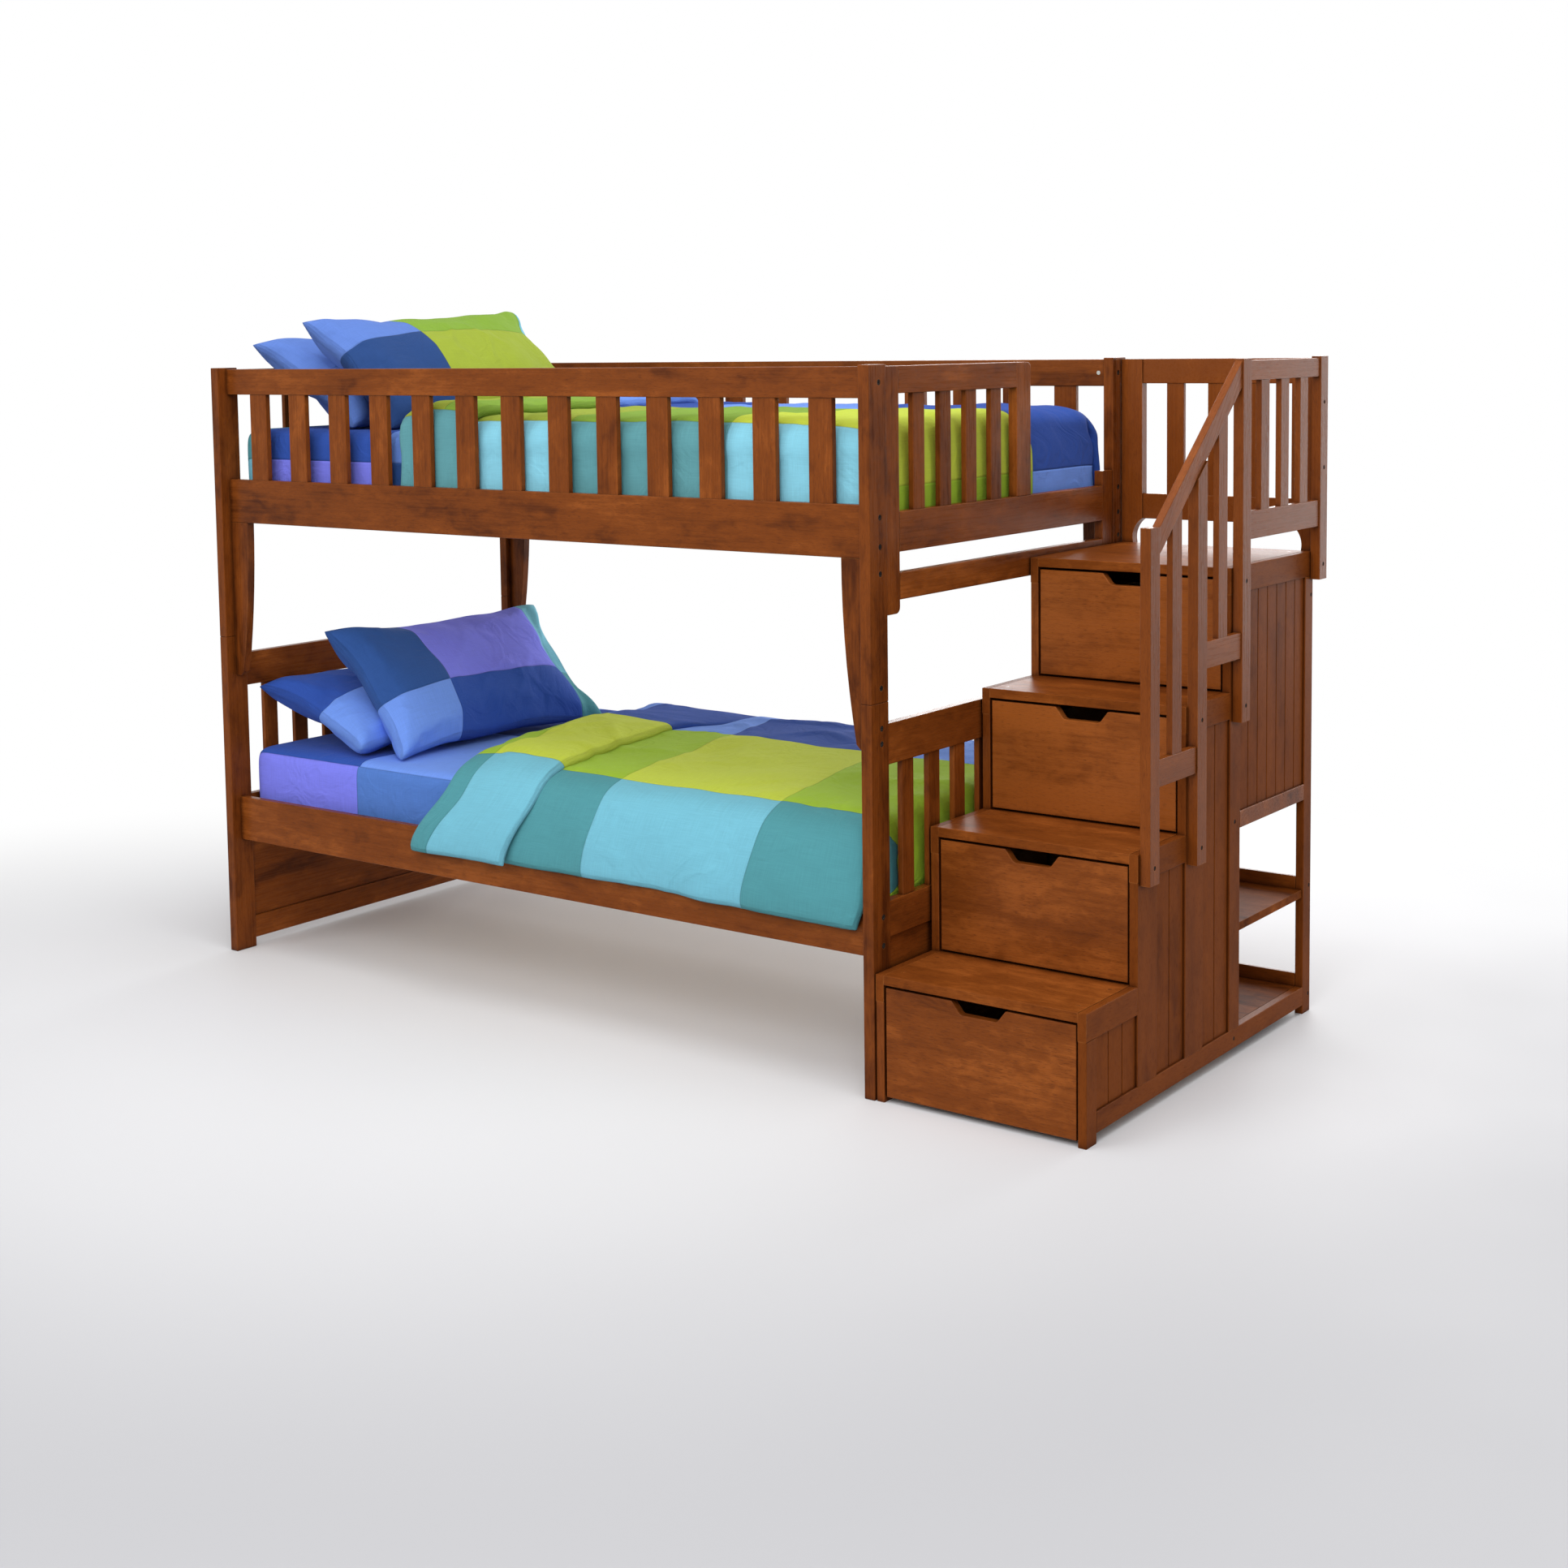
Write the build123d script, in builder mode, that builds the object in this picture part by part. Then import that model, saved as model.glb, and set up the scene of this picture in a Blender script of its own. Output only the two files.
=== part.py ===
from build123d import *
import os
from math import cos, pi, radians, sin

os.makedirs("parts", exist_ok=True)

# Driving dimensions of the bed, in millimetres
bed_length = 2020.0
bed_depth = 1100.0
bed_height = 1510.0
post_thick = 26.0
post_depth = 64.0
post_joint_z = 822.0
dowel_dia = 10.0
dowel_length = 70.0
dowel_shift = 18.0
dowel_clearance = 0.2
edge_ease = 2.0

# Side rails and guards
rail_thick = 20.0
rail_set_back = 28.0
guard_drop = 4.0
guard_rail_height = 64.0
upper_rail_height = 110.0
lower_rail_z = 291.0
lower_rail_height = 112.0
guard_slat_count = 13
guard_slat_width = 60.0
guard_slat_thick = 15.0
guard_opening = 216.0

# End frames
end_thick = 22.0
end_set_in = 2.0
end_slat_width = 44.0
end_slat_thick = 13.0
lower_end_slat_count = 9
end_top_rail_z = 690.0
end_top_rail_height = 85.0
end_mid_rail_z = 329.0
end_mid_rail_height = 76.0
end_base_rail_z = 23.0
end_base_rail_height = 58.0
end_panel_thick = 9.0
entry_stile_width = 50.0
entry_inner_stile_width = 62.0
entry_stile_round = 14.0
entry_guard_length = 474.0
entry_slat_count = 4
entry_rail_lift = 9.0
entry_rail_height = 83.0
entry_low_rail_drop = 99.0
entry_low_rail_height = 56.0
entry_top_rail_height = 56.0
entry_stile_drop = 127.0
entry_back_stile_rise = 35.0
head_slat_count = 4

# Braces that bridge the joint in each post
brace_top_width = 64.0
brace_foot_width = 30.0
brace_drop = 100.0
brace_foot_cut = 10.0
brace_bow = 55.0

# Bed bases
cleat_thick = 20.0
cleat_height = 25.0
cleat_lift = 9.0
bed_slat_thick = 18.0
bed_slat_width = 70.0
bed_slat_count = 14
bed_slat_end_gap = 2.0

# Fasteners
bolt_head_dia = 12.0
bolt_head_height = 4.0
bolt_recess = 5.0
bolt_shank_dia = 6.0
bolt_reach = 16.0
bolt_clearance = 0.3
hex_socket = 6.0
hex_socket_depth = 2.5
nut_dia = 10.0
nut_length = 12.0
nut_inset = 22.0
bolt_pair_gap = 60.0
brace_foot_bolt_drops = [53.0, 85.0]
plug_dia = 9.0
plug_depth = 6.0
cap_bolt_recess = 3.0
cap_bolt_height = 2.0
corner_bolt_drops = [103.0, 251.0]
rear_bolt_inset = 10.0
rear_bolt_drop = 42.0

# Stair tower
tower_gap = 2.0
tower_width = 486.0
tower_set_back = 4.0
step_rise = 267.0
step_run = 212.0
step_count = 4
stile_thick = 19.0
front_stile_depth = 42.0
stile_width = 84.0
shelf_stile_width = 52.0
rear_post_depth = 42.0
cap_height = 57.0
tread_thick = 21.0
tread_overlap = 40.0
base_rail_z = 20.0
base_rail_height = 43.0
board_thick = 8.0
board_recess = 5.0
board_gap = 1.0
board_width = 52.0
board_groove = 2.5
shelf_head_height = 37.0
shelf_head_rise = 3.0
shelf_thick = 18.0
shelf_lip_height = 48.0
shelf_lip_lift = 30.0
shelf_edge_inset = 4.0
panel_thick = 12.0
back_panel_thick = 8.0

# Drawers
drawer_side_gap = 4.0
drawer_top_gap = 5.0
drawer_foot_gap = 4.0
drawer_floor_gap = 12.0
drawer_front_thick = 18.0
drawer_inset = 2.0
pull_width = 125.0
pull_depth = 26.0
pull_slope = 20.0
pull_foot_radius = 12.0
pull_lip_radius = 6.0
box_side_inset = 8.0
box_wall = 12.0
box_lift = 26.0
box_height = 150.0
box_bottom_thick = 6.0
box_bottom_lift = 6.0
box_joint_gap = 0.2
box_rear_gap = 20.0
runner_width = 20.0
runner_height = 18.0
runner_gap = 0.5
runner_front_gap = 4.0

# Handrail and platform guard
handrail_thick = 23.0
handrail_post_width = 42.0
handrail_post_shift = 8.0
handrail_rise = 651.0
handrail_post_drop = 6.0
handrail_rail_thick = 17.0
slope_rail_depth = 57.0
slope_rail_drop = 3.0
stair_rail_height = 56.0
stair_rail_lift = 130.0
guard_thick = 24.0
platform_top_rail_height = 42.0
platform_rail_gap = 58.0
platform_low_rail_height = 60.0
platform_slat_count = 3
back_stile_width = 54.0
back_stile_foot_width = 30.0
back_top_rail_height = 58.0

# Bedding
mattress_length = 1940.0
mattress_width = 965.0
mattress_height = 187.0
mattress_head_gap = 2.5
mattress_round = 45.0
mattress_edge_round = 25.0
cloth_gap = 1.5
duvet_thick = 32.0
duvet_length = 1300.0
duvet_fold_length = 270.0
duvet_fold_rise = 22.0
duvet_hem_z = 338.0
duvet_hang_thick = 12.0
duvet_wave = 3.0
duvet_folds = 4
duvet_stations = 17
tuck_hem_lift = 6.0
tuck_gap = 1.5
foot_drop_thick = 18.0
foot_drop_hem = 110.0
pillow_length = 740.0
pillow_width = 430.0
pillow_thick = 116.0
pillow_draw_in = 22.0
flat_pillow_length = 700.0
flat_pillow_thick = 84.0
flat_pillow_width = 380.0
lean_angles = [47.0, 41.0]
flat_angles = [18.0, 31.0]
lean_yaws = [2.0, 3.0]
pillow_levels = [(-0.5, 0.62), (-0.36, 0.84), (0.0, 1.0), (0.36, 0.84), (0.5, 0.62)]
lean_pillow_xs = [372.0, 352.0]
lean_pillow_y = -55.0
lean_pillow_rises = [162.0, 151.0]
flat_pillow_xs = [206.0, 182.0]
flat_pillow_y = -110.0
flat_pillow_rises = [90.0, 118.0]

# Places worked out from the driving dimensions
head_x = -(bed_length + tower_gap + tower_width + handrail_thick) / 2
foot_x = head_x + bed_length
front_y = -bed_depth / 2
back_y = bed_depth / 2
inner_head_x = head_x + post_thick
inner_foot_x = foot_x - post_thick
inner_length = inner_foot_x - inner_head_x
end_span = bed_depth - 2 * post_depth
end_front_y = front_y + post_depth
end_back_y = back_y - post_depth
rail_front_y = front_y + rail_set_back
rail_back_y = back_y - rail_set_back - rail_thick
end_head_x = head_x + end_set_in
end_foot_x = foot_x - end_set_in - end_thick
guard_top_z = bed_height - guard_drop
guard_rail_z = guard_top_z - guard_rail_height
upper_rail_top = guard_rail_z - guard_opening
upper_rail_z = upper_rail_top - upper_rail_height
brace_foot_z = post_joint_z - brace_drop
entry_rail_z = upper_rail_z + entry_rail_lift
entry_low_rail_z = entry_rail_z - entry_low_rail_drop
entry_stile_foot_z = entry_rail_z - entry_stile_drop
entry_back_stile_top_z = entry_rail_z + entry_rail_height + entry_back_stile_rise
lower_rail_top = lower_rail_z + lower_rail_height
tower_x0 = foot_x + tower_gap
tower_x1 = tower_x0 + tower_width
tower_in_x0 = tower_x0 + stile_thick
tower_in_x1 = tower_x1 - stile_thick
tower_in_width = tower_in_x1 - tower_in_x0
tower_y0 = front_y + tower_set_back
tower_y1 = back_y - guard_thick
rear_post_y = tower_y1 - rear_post_depth
base_top = base_rail_z + base_rail_height
step_y = [tower_y0 + n * step_run for n in range(step_count)]
step_z = [(n + 1) * step_rise for n in range(step_count)]
shelf_head_top = step_z[1] + shelf_head_rise
shelf_head_z = shelf_head_top - shelf_head_height
mid_shelf_z = (base_top + shelf_head_z - shelf_thick) / 2
platform_low_rail_z = step_z[3] + platform_rail_gap
platform_foot_z = step_z[3] - cap_height - handrail_post_drop
handrail_low_z = step_z[1] + handrail_rise
shelf_y = step_y[-1] + shelf_stile_width
partition_y = shelf_y - panel_thick


def save(piece, name):
    """Label a finished piece and write its file."""
    piece.part.label = name
    export_step(piece.part, f"parts/{name}.step")


def bar(size_x, size_y, size_z, along, ease=edge_ease):
    """A straight bar from the origin corner, with its long edges eased."""
    with BuildPart() as stick:
        Box(size_x, size_y, size_z, align=(Align.MIN, Align.MIN, Align.MIN))
        fillet(stick.edges().filter_by(along), ease)
    return stick.part


def eased_block(size_x, size_y, size_z):
    """A block from the origin corner, with every edge eased."""
    with BuildPart() as block:
        Box(size_x, size_y, size_z, align=(Align.MIN, Align.MIN, Align.MIN))
        fillet(block.edges(), edge_ease)
    return block.part


def place_bars(name, groups, bolt_places=()):
    """One node of separate bars, each group a bar and the corners it is set at, bored for bolt heads."""
    with BuildPart() as node:
        for stick, corners in groups:
            with Locations(*corners):
                add(stick)
        if bolt_places:
            with Locations(*bolt_places):
                Cylinder(
                    plug_dia / 2 + bolt_clearance,
                    cap_bolt_recess,
                    align=(Align.CENTER, Align.CENTER, Align.MAX),
                    mode=Mode.SUBTRACT,
                )
    save(node, name)


def place_bolts(name, places):
    """One node of bolt heads, each set below the face it is driven into."""
    with BuildPart() as node:
        with Locations(*places):
            with Locations((0, 0, -cap_bolt_recess)):
                Cylinder(plug_dia / 2, cap_bolt_height, align=(Align.CENTER, Align.CENTER, Align.MIN))
    save(node, name)


def side_bolt(y, z):
    """Place of a bolt head in the outer face of the tower's right side."""
    return Location((tower_x1, y, z), (0, 90, 0))


def spaced(start, span, count, width):
    """Starts of equally spaced pieces of one width that fill a span with equal gaps."""
    gap = (span - count * width) / (count + 1)
    return [start + gap + n * (width + gap) for n in range(count)]


# Bolts that join each post to its rails and its brace
rail_bolt_zs = [
    guard_rail_z + guard_rail_height / 2,
    upper_rail_top - (upper_rail_height - bolt_pair_gap) / 2,
    upper_rail_z + (upper_rail_height - bolt_pair_gap) / 2,
    lower_rail_top - (lower_rail_height - bolt_pair_gap) / 2,
    lower_rail_z + (lower_rail_height - bolt_pair_gap) / 2,
]
brace_height = upper_rail_z - brace_foot_z
brace_bolt_zs = [
    upper_rail_z - bolt_pair_gap / 2,
    post_joint_z + bolt_pair_gap / 2,
    *[post_joint_z - drop for drop in brace_foot_bolt_drops],
]
bolt_zs = rail_bolt_zs + brace_bolt_zs
rail_mid_front_y = rail_front_y + rail_thick / 2
rail_mid_back_y = rail_back_y + rail_thick / 2
bolt_ys = [rail_mid_front_y, rail_mid_back_y]
head_bolts = [(head_x, y, z) for y in bolt_ys for z in bolt_zs]
foot_bolts = [(foot_x, y, z) for y in bolt_ys for z in bolt_zs]
bolt_turn_head = (0, 90, 0)
bolt_turn_foot = (0, -90, 0)


def bolt_holes(length):
    """Holes for the bolts, cut from the outer faces of both pairs of posts."""
    for points, turn in ((head_bolts, bolt_turn_head), (foot_bolts, bolt_turn_foot)):
        with Locations(*[Location(p, turn) for p in points]):
            Cylinder(
                bolt_head_dia / 2 + bolt_clearance,
                bolt_recess,
                align=(Align.CENTER, Align.CENTER, Align.MIN),
                mode=Mode.SUBTRACT,
            )
            Cylinder(
                bolt_shank_dia / 2 + bolt_clearance,
                length,
                align=(Align.CENTER, Align.CENTER, Align.MIN),
                mode=Mode.SUBTRACT,
            )


# Posts, each in two lengths joined by a dowel
post_corners = [(x, y) for x in (head_x, inner_foot_x) for y in (front_y, back_y - post_depth)]
dowel_front_y = front_y + post_depth / 2 + dowel_shift
dowel_xs = [x + post_thick / 2 for x in (head_x, inner_foot_x)]
dowel_places = [(x, y, post_joint_z) for x in dowel_xs for y in (dowel_front_y, -dowel_front_y)]
lower_post = eased_block(post_thick, post_depth, post_joint_z)
upper_post = eased_block(post_thick, post_depth, bed_height - post_joint_z)
dowel_hole = dowel_dia + dowel_clearance
dowel_hole_length = dowel_length + dowel_clearance
bolt_length = post_thick + bolt_reach

with BuildPart() as lower_posts:
    with Locations(*[(x, y, 0) for x, y in post_corners]):
        add(lower_post)
    with Locations(*dowel_places):
        Cylinder(dowel_hole / 2, dowel_hole_length, mode=Mode.SUBTRACT)
    bolt_holes(bolt_length)
save(lower_posts, "lower_posts")

with BuildPart() as upper_posts:
    with Locations(*[(x, y, post_joint_z) for x, y in post_corners]):
        add(upper_post)
    with Locations(*dowel_places):
        Cylinder(dowel_hole / 2, dowel_hole_length, mode=Mode.SUBTRACT)
    bolt_holes(bolt_length)
save(upper_posts, "upper_posts")

with BuildPart() as post_dowels:
    with Locations(*dowel_places):
        Cylinder(dowel_dia / 2, dowel_length)
save(post_dowels, "post_dowels")

# Tapered braces on the inner faces of the posts
with BuildPart() as brace:
    with BuildSketch(Plane.XZ):
        with BuildLine():
            Polyline((0, 0), (0, brace_height), (brace_top_width, brace_height))
            ThreePointArc(
                (brace_top_width, brace_height),
                (brace_bow, brace_height / 2),
                (brace_foot_width, brace_foot_cut),
            )
            Line((brace_foot_width, brace_foot_cut), (brace_foot_width - brace_foot_cut, 0))
            Line((brace_foot_width - brace_foot_cut, 0), (0, 0))
        make_face()
    extrude(amount=-rail_thick)
brace_ys = [rail_front_y, rail_back_y]

with BuildPart() as post_braces:
    with Locations(*[(inner_head_x, y, brace_foot_z) for y in brace_ys]):
        add(brace.part)
    with Locations(
        *[Location((inner_foot_x, y + rail_thick, brace_foot_z), (0, 0, 180)) for y in brace_ys]
    ):
        add(brace.part)
    bolt_holes(bolt_length)
save(post_braces, "post_braces")

# Long rails between the posts
rail_ys = [rail_front_y, rail_back_y]
guard_rail = bar(inner_length, rail_thick, guard_rail_height, Axis.X)
upper_rail = bar(inner_length, rail_thick, upper_rail_height, Axis.X)
lower_rail = bar(inner_length, rail_thick, lower_rail_height, Axis.X)
nut_hole_length = nut_length + bolt_clearance


def nut_places(zs):
    """Centres of the cross nuts on the inner faces of the long rails."""
    xs = (inner_head_x + nut_inset, inner_foot_x - nut_inset)
    front = [(x, rail_front_y + rail_thick, z) for x in xs for z in zs]
    back = [(x, rail_back_y, z) for x in xs for z in zs]
    return front, back


def rail_pair(name, rail, z, zs):
    """A front and a back rail, drilled for their bolts and cross nuts."""
    front, back = nut_places(zs)
    with BuildPart() as pair:
        with Locations(*[(inner_head_x, y, z) for y in rail_ys]):
            add(rail)
        bolt_holes(bolt_length)
        with Locations(
            *[Location(p, (90, 0, 0)) for p in front],
            *[Location(p, (-90, 0, 0)) for p in back],
        ):
            Cylinder(
                nut_dia / 2 + bolt_clearance,
                nut_hole_length,
                align=(Align.CENTER, Align.CENTER, Align.MIN),
                mode=Mode.SUBTRACT,
            )
    save(pair, name)


rail_pair("guard_top_rails", guard_rail, guard_rail_z, rail_bolt_zs[:1])
rail_pair("upper_side_rails", upper_rail, upper_rail_z, rail_bolt_zs[1:3])
rail_pair("lower_side_rails", lower_rail, lower_rail_z, rail_bolt_zs[3:])

guard_slat = bar(guard_slat_width, guard_slat_thick, guard_opening, Axis.Z)
guard_slat_xs = spaced(inner_head_x, inner_length, guard_slat_count, guard_slat_width)
guard_slat_inset = (rail_thick - guard_slat_thick) / 2
guard_slat_corners = [(x, y + guard_slat_inset, upper_rail_top) for y in rail_ys for x in guard_slat_xs]
place_bars("guard_slats", [(guard_slat, guard_slat_corners)])

# Lower end frames at the head and at the foot
end_rail_sizes = [
    (end_top_rail_z, end_top_rail_height),
    (end_mid_rail_z, end_mid_rail_height),
    (end_base_rail_z, end_base_rail_height),
]
end_rail_bars = [(bar(end_thick, end_span, height, Axis.Y), z) for z, height in end_rail_sizes]
for name, x in (("head_end_rails", end_head_x), ("foot_end_rails", end_foot_x)):
    place_bars(name, [(stick, [(x, end_front_y, z)]) for stick, z in end_rail_bars])

end_mid_top = end_mid_rail_z + end_mid_rail_height
end_base_top = end_base_rail_z + end_base_rail_height
end_slat_inset = (end_thick - end_slat_thick) / 2
end_panel_inset = (end_thick - end_panel_thick) / 2
lower_end_slat = bar(end_slat_thick, end_slat_width, end_top_rail_z - end_mid_top, Axis.Z)
lower_end_slat_ys = spaced(end_front_y, end_span, lower_end_slat_count, end_slat_width)
lower_end_slat_corners = [
    (x + end_slat_inset, y, end_mid_top) for x in (end_head_x, end_foot_x) for y in lower_end_slat_ys
]
place_bars("lower_end_slats", [(lower_end_slat, lower_end_slat_corners)])

with BuildPart() as lower_end_panels:
    with Locations(*[(x + end_panel_inset, end_front_y, end_base_top) for x in (end_head_x, end_foot_x)]):
        Box(
            end_panel_thick,
            end_span,
            end_mid_rail_z - end_base_top,
            align=(Align.MIN, Align.MIN, Align.MIN),
        )
save(lower_end_panels, "lower_end_panels")

# Upper head end frame
entry_rail_top = entry_rail_z + entry_rail_height
entry_top_rail_z = guard_top_z - entry_top_rail_height
head_top_rail = bar(end_thick, end_span, entry_top_rail_height, Axis.Y)
head_low_rail = bar(end_thick, end_span, entry_rail_height, Axis.Y)
place_bars(
    "upper_head_rails",
    [
        (head_top_rail, [(end_head_x, end_front_y, entry_top_rail_z)]),
        (head_low_rail, [(end_head_x, end_front_y, entry_rail_z)]),
    ],
)
entry_slat = bar(end_slat_thick, end_slat_width, entry_top_rail_z - entry_rail_top, Axis.Z)
head_slat_ys = spaced(end_front_y, end_span, head_slat_count, end_slat_width)
place_bars(
    "upper_head_slats",
    [(entry_slat, [(end_head_x + end_slat_inset, y, entry_rail_top) for y in head_slat_ys])],
)

# Upper foot end frame with the way in from the stairs
def round_stile(width, height, end):
    """An end frame stile with its far corner rounded at the foot (0) or at the top (-1)."""
    with BuildPart() as stile:
        with BuildSketch(Plane.YZ) as outline:
            Rectangle(width, height, align=(Align.MIN, Align.MIN))
            far_corners = outline.vertices().group_by(Axis.X)[-1].sort_by(Axis.Y)
            fillet(far_corners[end], entry_stile_round)
        extrude(amount=end_thick)
        fillet(stile.edges().filter_by(Axis.X, reverse=True), edge_ease)
    return stile.part


entry_guard_y = end_front_y + entry_stile_width
entry_inner_y = entry_guard_y + entry_guard_length
entry_back_y = end_back_y - entry_stile_width
entry_rail_span = entry_back_y - entry_guard_y
near_stile = round_stile(entry_stile_width, guard_top_z - entry_stile_foot_z, 0)
inner_stile = round_stile(entry_inner_stile_width, guard_top_z - entry_rail_top, -1)
back_stile = bar(end_thick, entry_stile_width, entry_back_stile_top_z - entry_stile_foot_z, Axis.Z)
place_bars(
    "entry_stiles",
    [
        (near_stile, [(end_foot_x, end_front_y, entry_stile_foot_z)]),
        (inner_stile, [(end_foot_x, entry_inner_y, entry_rail_top)]),
        (back_stile, [(end_foot_x, entry_back_y, entry_stile_foot_z)]),
    ],
)
entry_top_rail = bar(end_thick, entry_guard_length, entry_top_rail_height, Axis.Y)
entry_rail = bar(end_thick, entry_rail_span, entry_rail_height, Axis.Y)
entry_low_rail = bar(end_thick, entry_rail_span, entry_low_rail_height, Axis.Y)
place_bars(
    "entry_rails",
    [
        (entry_top_rail, [(end_foot_x, entry_guard_y, entry_top_rail_z)]),
        (entry_rail, [(end_foot_x, entry_guard_y, entry_rail_z)]),
        (entry_low_rail, [(end_foot_x, entry_guard_y, entry_low_rail_z)]),
    ],
)
entry_slat_ys = spaced(entry_guard_y, entry_guard_length, entry_slat_count, end_slat_width)
place_bars(
    "entry_slats",
    [(entry_slat, [(end_foot_x + end_slat_inset, y, entry_rail_top) for y in entry_slat_ys])],
)

# Cleats and bed slats of both bunks
cleat_length = inner_length - 2 * nut_inset - 2 * nut_dia
cleat = bar(cleat_length, cleat_thick, cleat_height, Axis.X)
cleat_x = (inner_head_x + inner_foot_x - cleat_length) / 2
cleat_ys = [rail_front_y + rail_thick, rail_back_y - cleat_thick]
cleat_zs = [lower_rail_z + cleat_lift, upper_rail_z + cleat_lift]
place_bars("slat_cleats", [(cleat, [(cleat_x, y, z) for y in cleat_ys for z in cleat_zs])])

bed_slat_length = rail_back_y - rail_front_y - rail_thick - 2 * bed_slat_end_gap
bed_slat = bar(bed_slat_width, bed_slat_length, bed_slat_thick, Axis.Y)
bed_slat_y = rail_front_y + rail_thick + bed_slat_end_gap
bed_slat_xs = spaced(cleat_x, cleat_length, bed_slat_count, bed_slat_width)
base_zs = [z + cleat_height for z in cleat_zs]
for name, z in zip(("lower_bed_slats", "upper_bed_slats"), base_zs):
    place_bars(name, [(bed_slat, [(x, bed_slat_y, z) for x in bed_slat_xs])])

# Bolts with a hexagon socket, and the cross nuts that they draw on
with BuildPart() as bolt:
    with Locations((0, 0, bolt_recess - bolt_head_height)):
        Cylinder(bolt_head_dia / 2, bolt_head_height, align=(Align.CENTER, Align.CENTER, Align.MIN))
    with Locations((0, 0, bolt_recess)):
        Cylinder(
            bolt_shank_dia / 2,
            bolt_length - bolt_recess,
            align=(Align.CENTER, Align.CENTER, Align.MIN),
        )
    with BuildSketch(Plane.XY.offset(bolt_recess - bolt_head_height)):
        RegularPolygon(hex_socket / 2, 6)
    extrude(amount=hex_socket_depth, mode=Mode.SUBTRACT)

with BuildPart() as rail_bolts:
    with Locations(
        *[Location(p, bolt_turn_head) for p in head_bolts],
        *[Location(p, bolt_turn_foot) for p in foot_bolts],
    ):
        add(bolt.part)
save(rail_bolts, "rail_bolts")

front_nuts, back_nuts = nut_places(rail_bolt_zs)
with BuildPart() as cross_nuts:
    with Locations(
        *[Location(p, (90, 0, 0)) for p in front_nuts],
        *[Location(p, (-90, 0, 0)) for p in back_nuts],
    ):
        Cylinder(nut_dia / 2, nut_length, align=(Align.CENTER, Align.CENTER, Align.MIN))
save(cross_nuts, "cross_nuts")

# Stiles and rear posts of the stair tower
side_xs = [tower_x0, tower_in_x1]
front_stile = bar(stile_thick, front_stile_depth, step_z[0] - cap_height, Axis.Z)
middle_stiles = [bar(stile_thick, stile_width, step_z[n] - cap_height - base_top, Axis.Z) for n in (1, 2)]
shelf_stile = bar(stile_thick, shelf_stile_width, step_z[3] - cap_height - base_top, Axis.Z)
base_mid_z = base_rail_z + base_rail_height / 2
rear_post_top = step_z[3] - cap_height
mid_lip_z = mid_shelf_z + shelf_thick + shelf_lip_lift - shelf_lip_height
stile_bolt_y = step_y[3] + shelf_stile_width / 2
stile_bolts = [side_bolt(stile_bolt_y, shelf_head_z + shelf_head_height / 2)]
base_bolts = [side_bolt(stile_bolt_y, base_mid_z)]
rear_bolt_zs = [base_mid_z, mid_lip_z + shelf_lip_height / 2, rear_post_top - rear_bolt_drop]
rear_bolts = [side_bolt(tower_y1 - rear_bolt_inset, z) for z in rear_bolt_zs]
for name, x, bolts in (
    ("tower_left_stiles", tower_x0, []),
    ("tower_right_stiles", tower_in_x1, stile_bolts),
):
    place_bars(
        name,
        [
            (front_stile, [(x, step_y[0], 0)]),
            (middle_stiles[0], [(x, step_y[1], base_top)]),
            (middle_stiles[1], [(x, step_y[2], base_top)]),
            (shelf_stile, [(x, step_y[3], base_top)]),
        ],
        bolts,
    )
rear_post = bar(stile_thick, rear_post_depth, rear_post_top, Axis.Z)
place_bars("tower_rear_posts", [(rear_post, [(x, rear_post_y, 0) for x in side_xs])], rear_bolts)

base_rail_y = step_y[0] + front_stile_depth
base_rail = bar(stile_thick, rear_post_y - base_rail_y, base_rail_height, Axis.Y)
place_bars("tower_base_rails", [(base_rail, [(x, base_rail_y, base_rail_z) for x in side_xs])], base_bolts)

# Bolts in the right side of the tower, at the ends of its shelf rails, lips and back
place_bolts("tower_bolts", stile_bolts + base_bolts + rear_bolts)

# Treads and the caps beside them
tread_ends = [y + tread_overlap for y in step_y[1:]] + [tower_y1]
cap_ends = step_y[1:] + [tower_y1]
plug_places = [
    (x, depth, z)
    for y, end, z in zip(step_y, cap_ends, step_z)
    for x in (tower_in_x0 + front_stile_depth / 2, tower_in_x1 - front_stile_depth / 2)
    for depth in (y + front_stile_depth, end - front_stile_depth)
]
with BuildPart() as treads:
    for y, end, z in zip(step_y, tread_ends, step_z):
        with Locations((tower_in_x0, y, z - tread_thick)):
            add(bar(tower_in_width, end - y, tread_thick, Axis.X))
    with Locations(*plug_places):
        Cylinder(
            plug_dia / 2 + bolt_clearance,
            plug_depth,
            align=(Align.CENTER, Align.CENTER, Align.MAX),
            mode=Mode.SUBTRACT,
        )
save(treads, "treads")

with BuildPart() as tread_plugs:
    with Locations(*plug_places):
        Cylinder(plug_dia / 2, plug_depth, align=(Align.CENTER, Align.CENTER, Align.MAX))
save(tread_plugs, "tread_plugs")

place_bars(
    "tread_caps",
    [
        (bar(stile_thick, end - y, cap_height, Axis.Y), [(x, y, z - cap_height) for x in side_xs])
        for y, end, z in zip(step_y, cap_ends, step_z)
    ],
)

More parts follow.
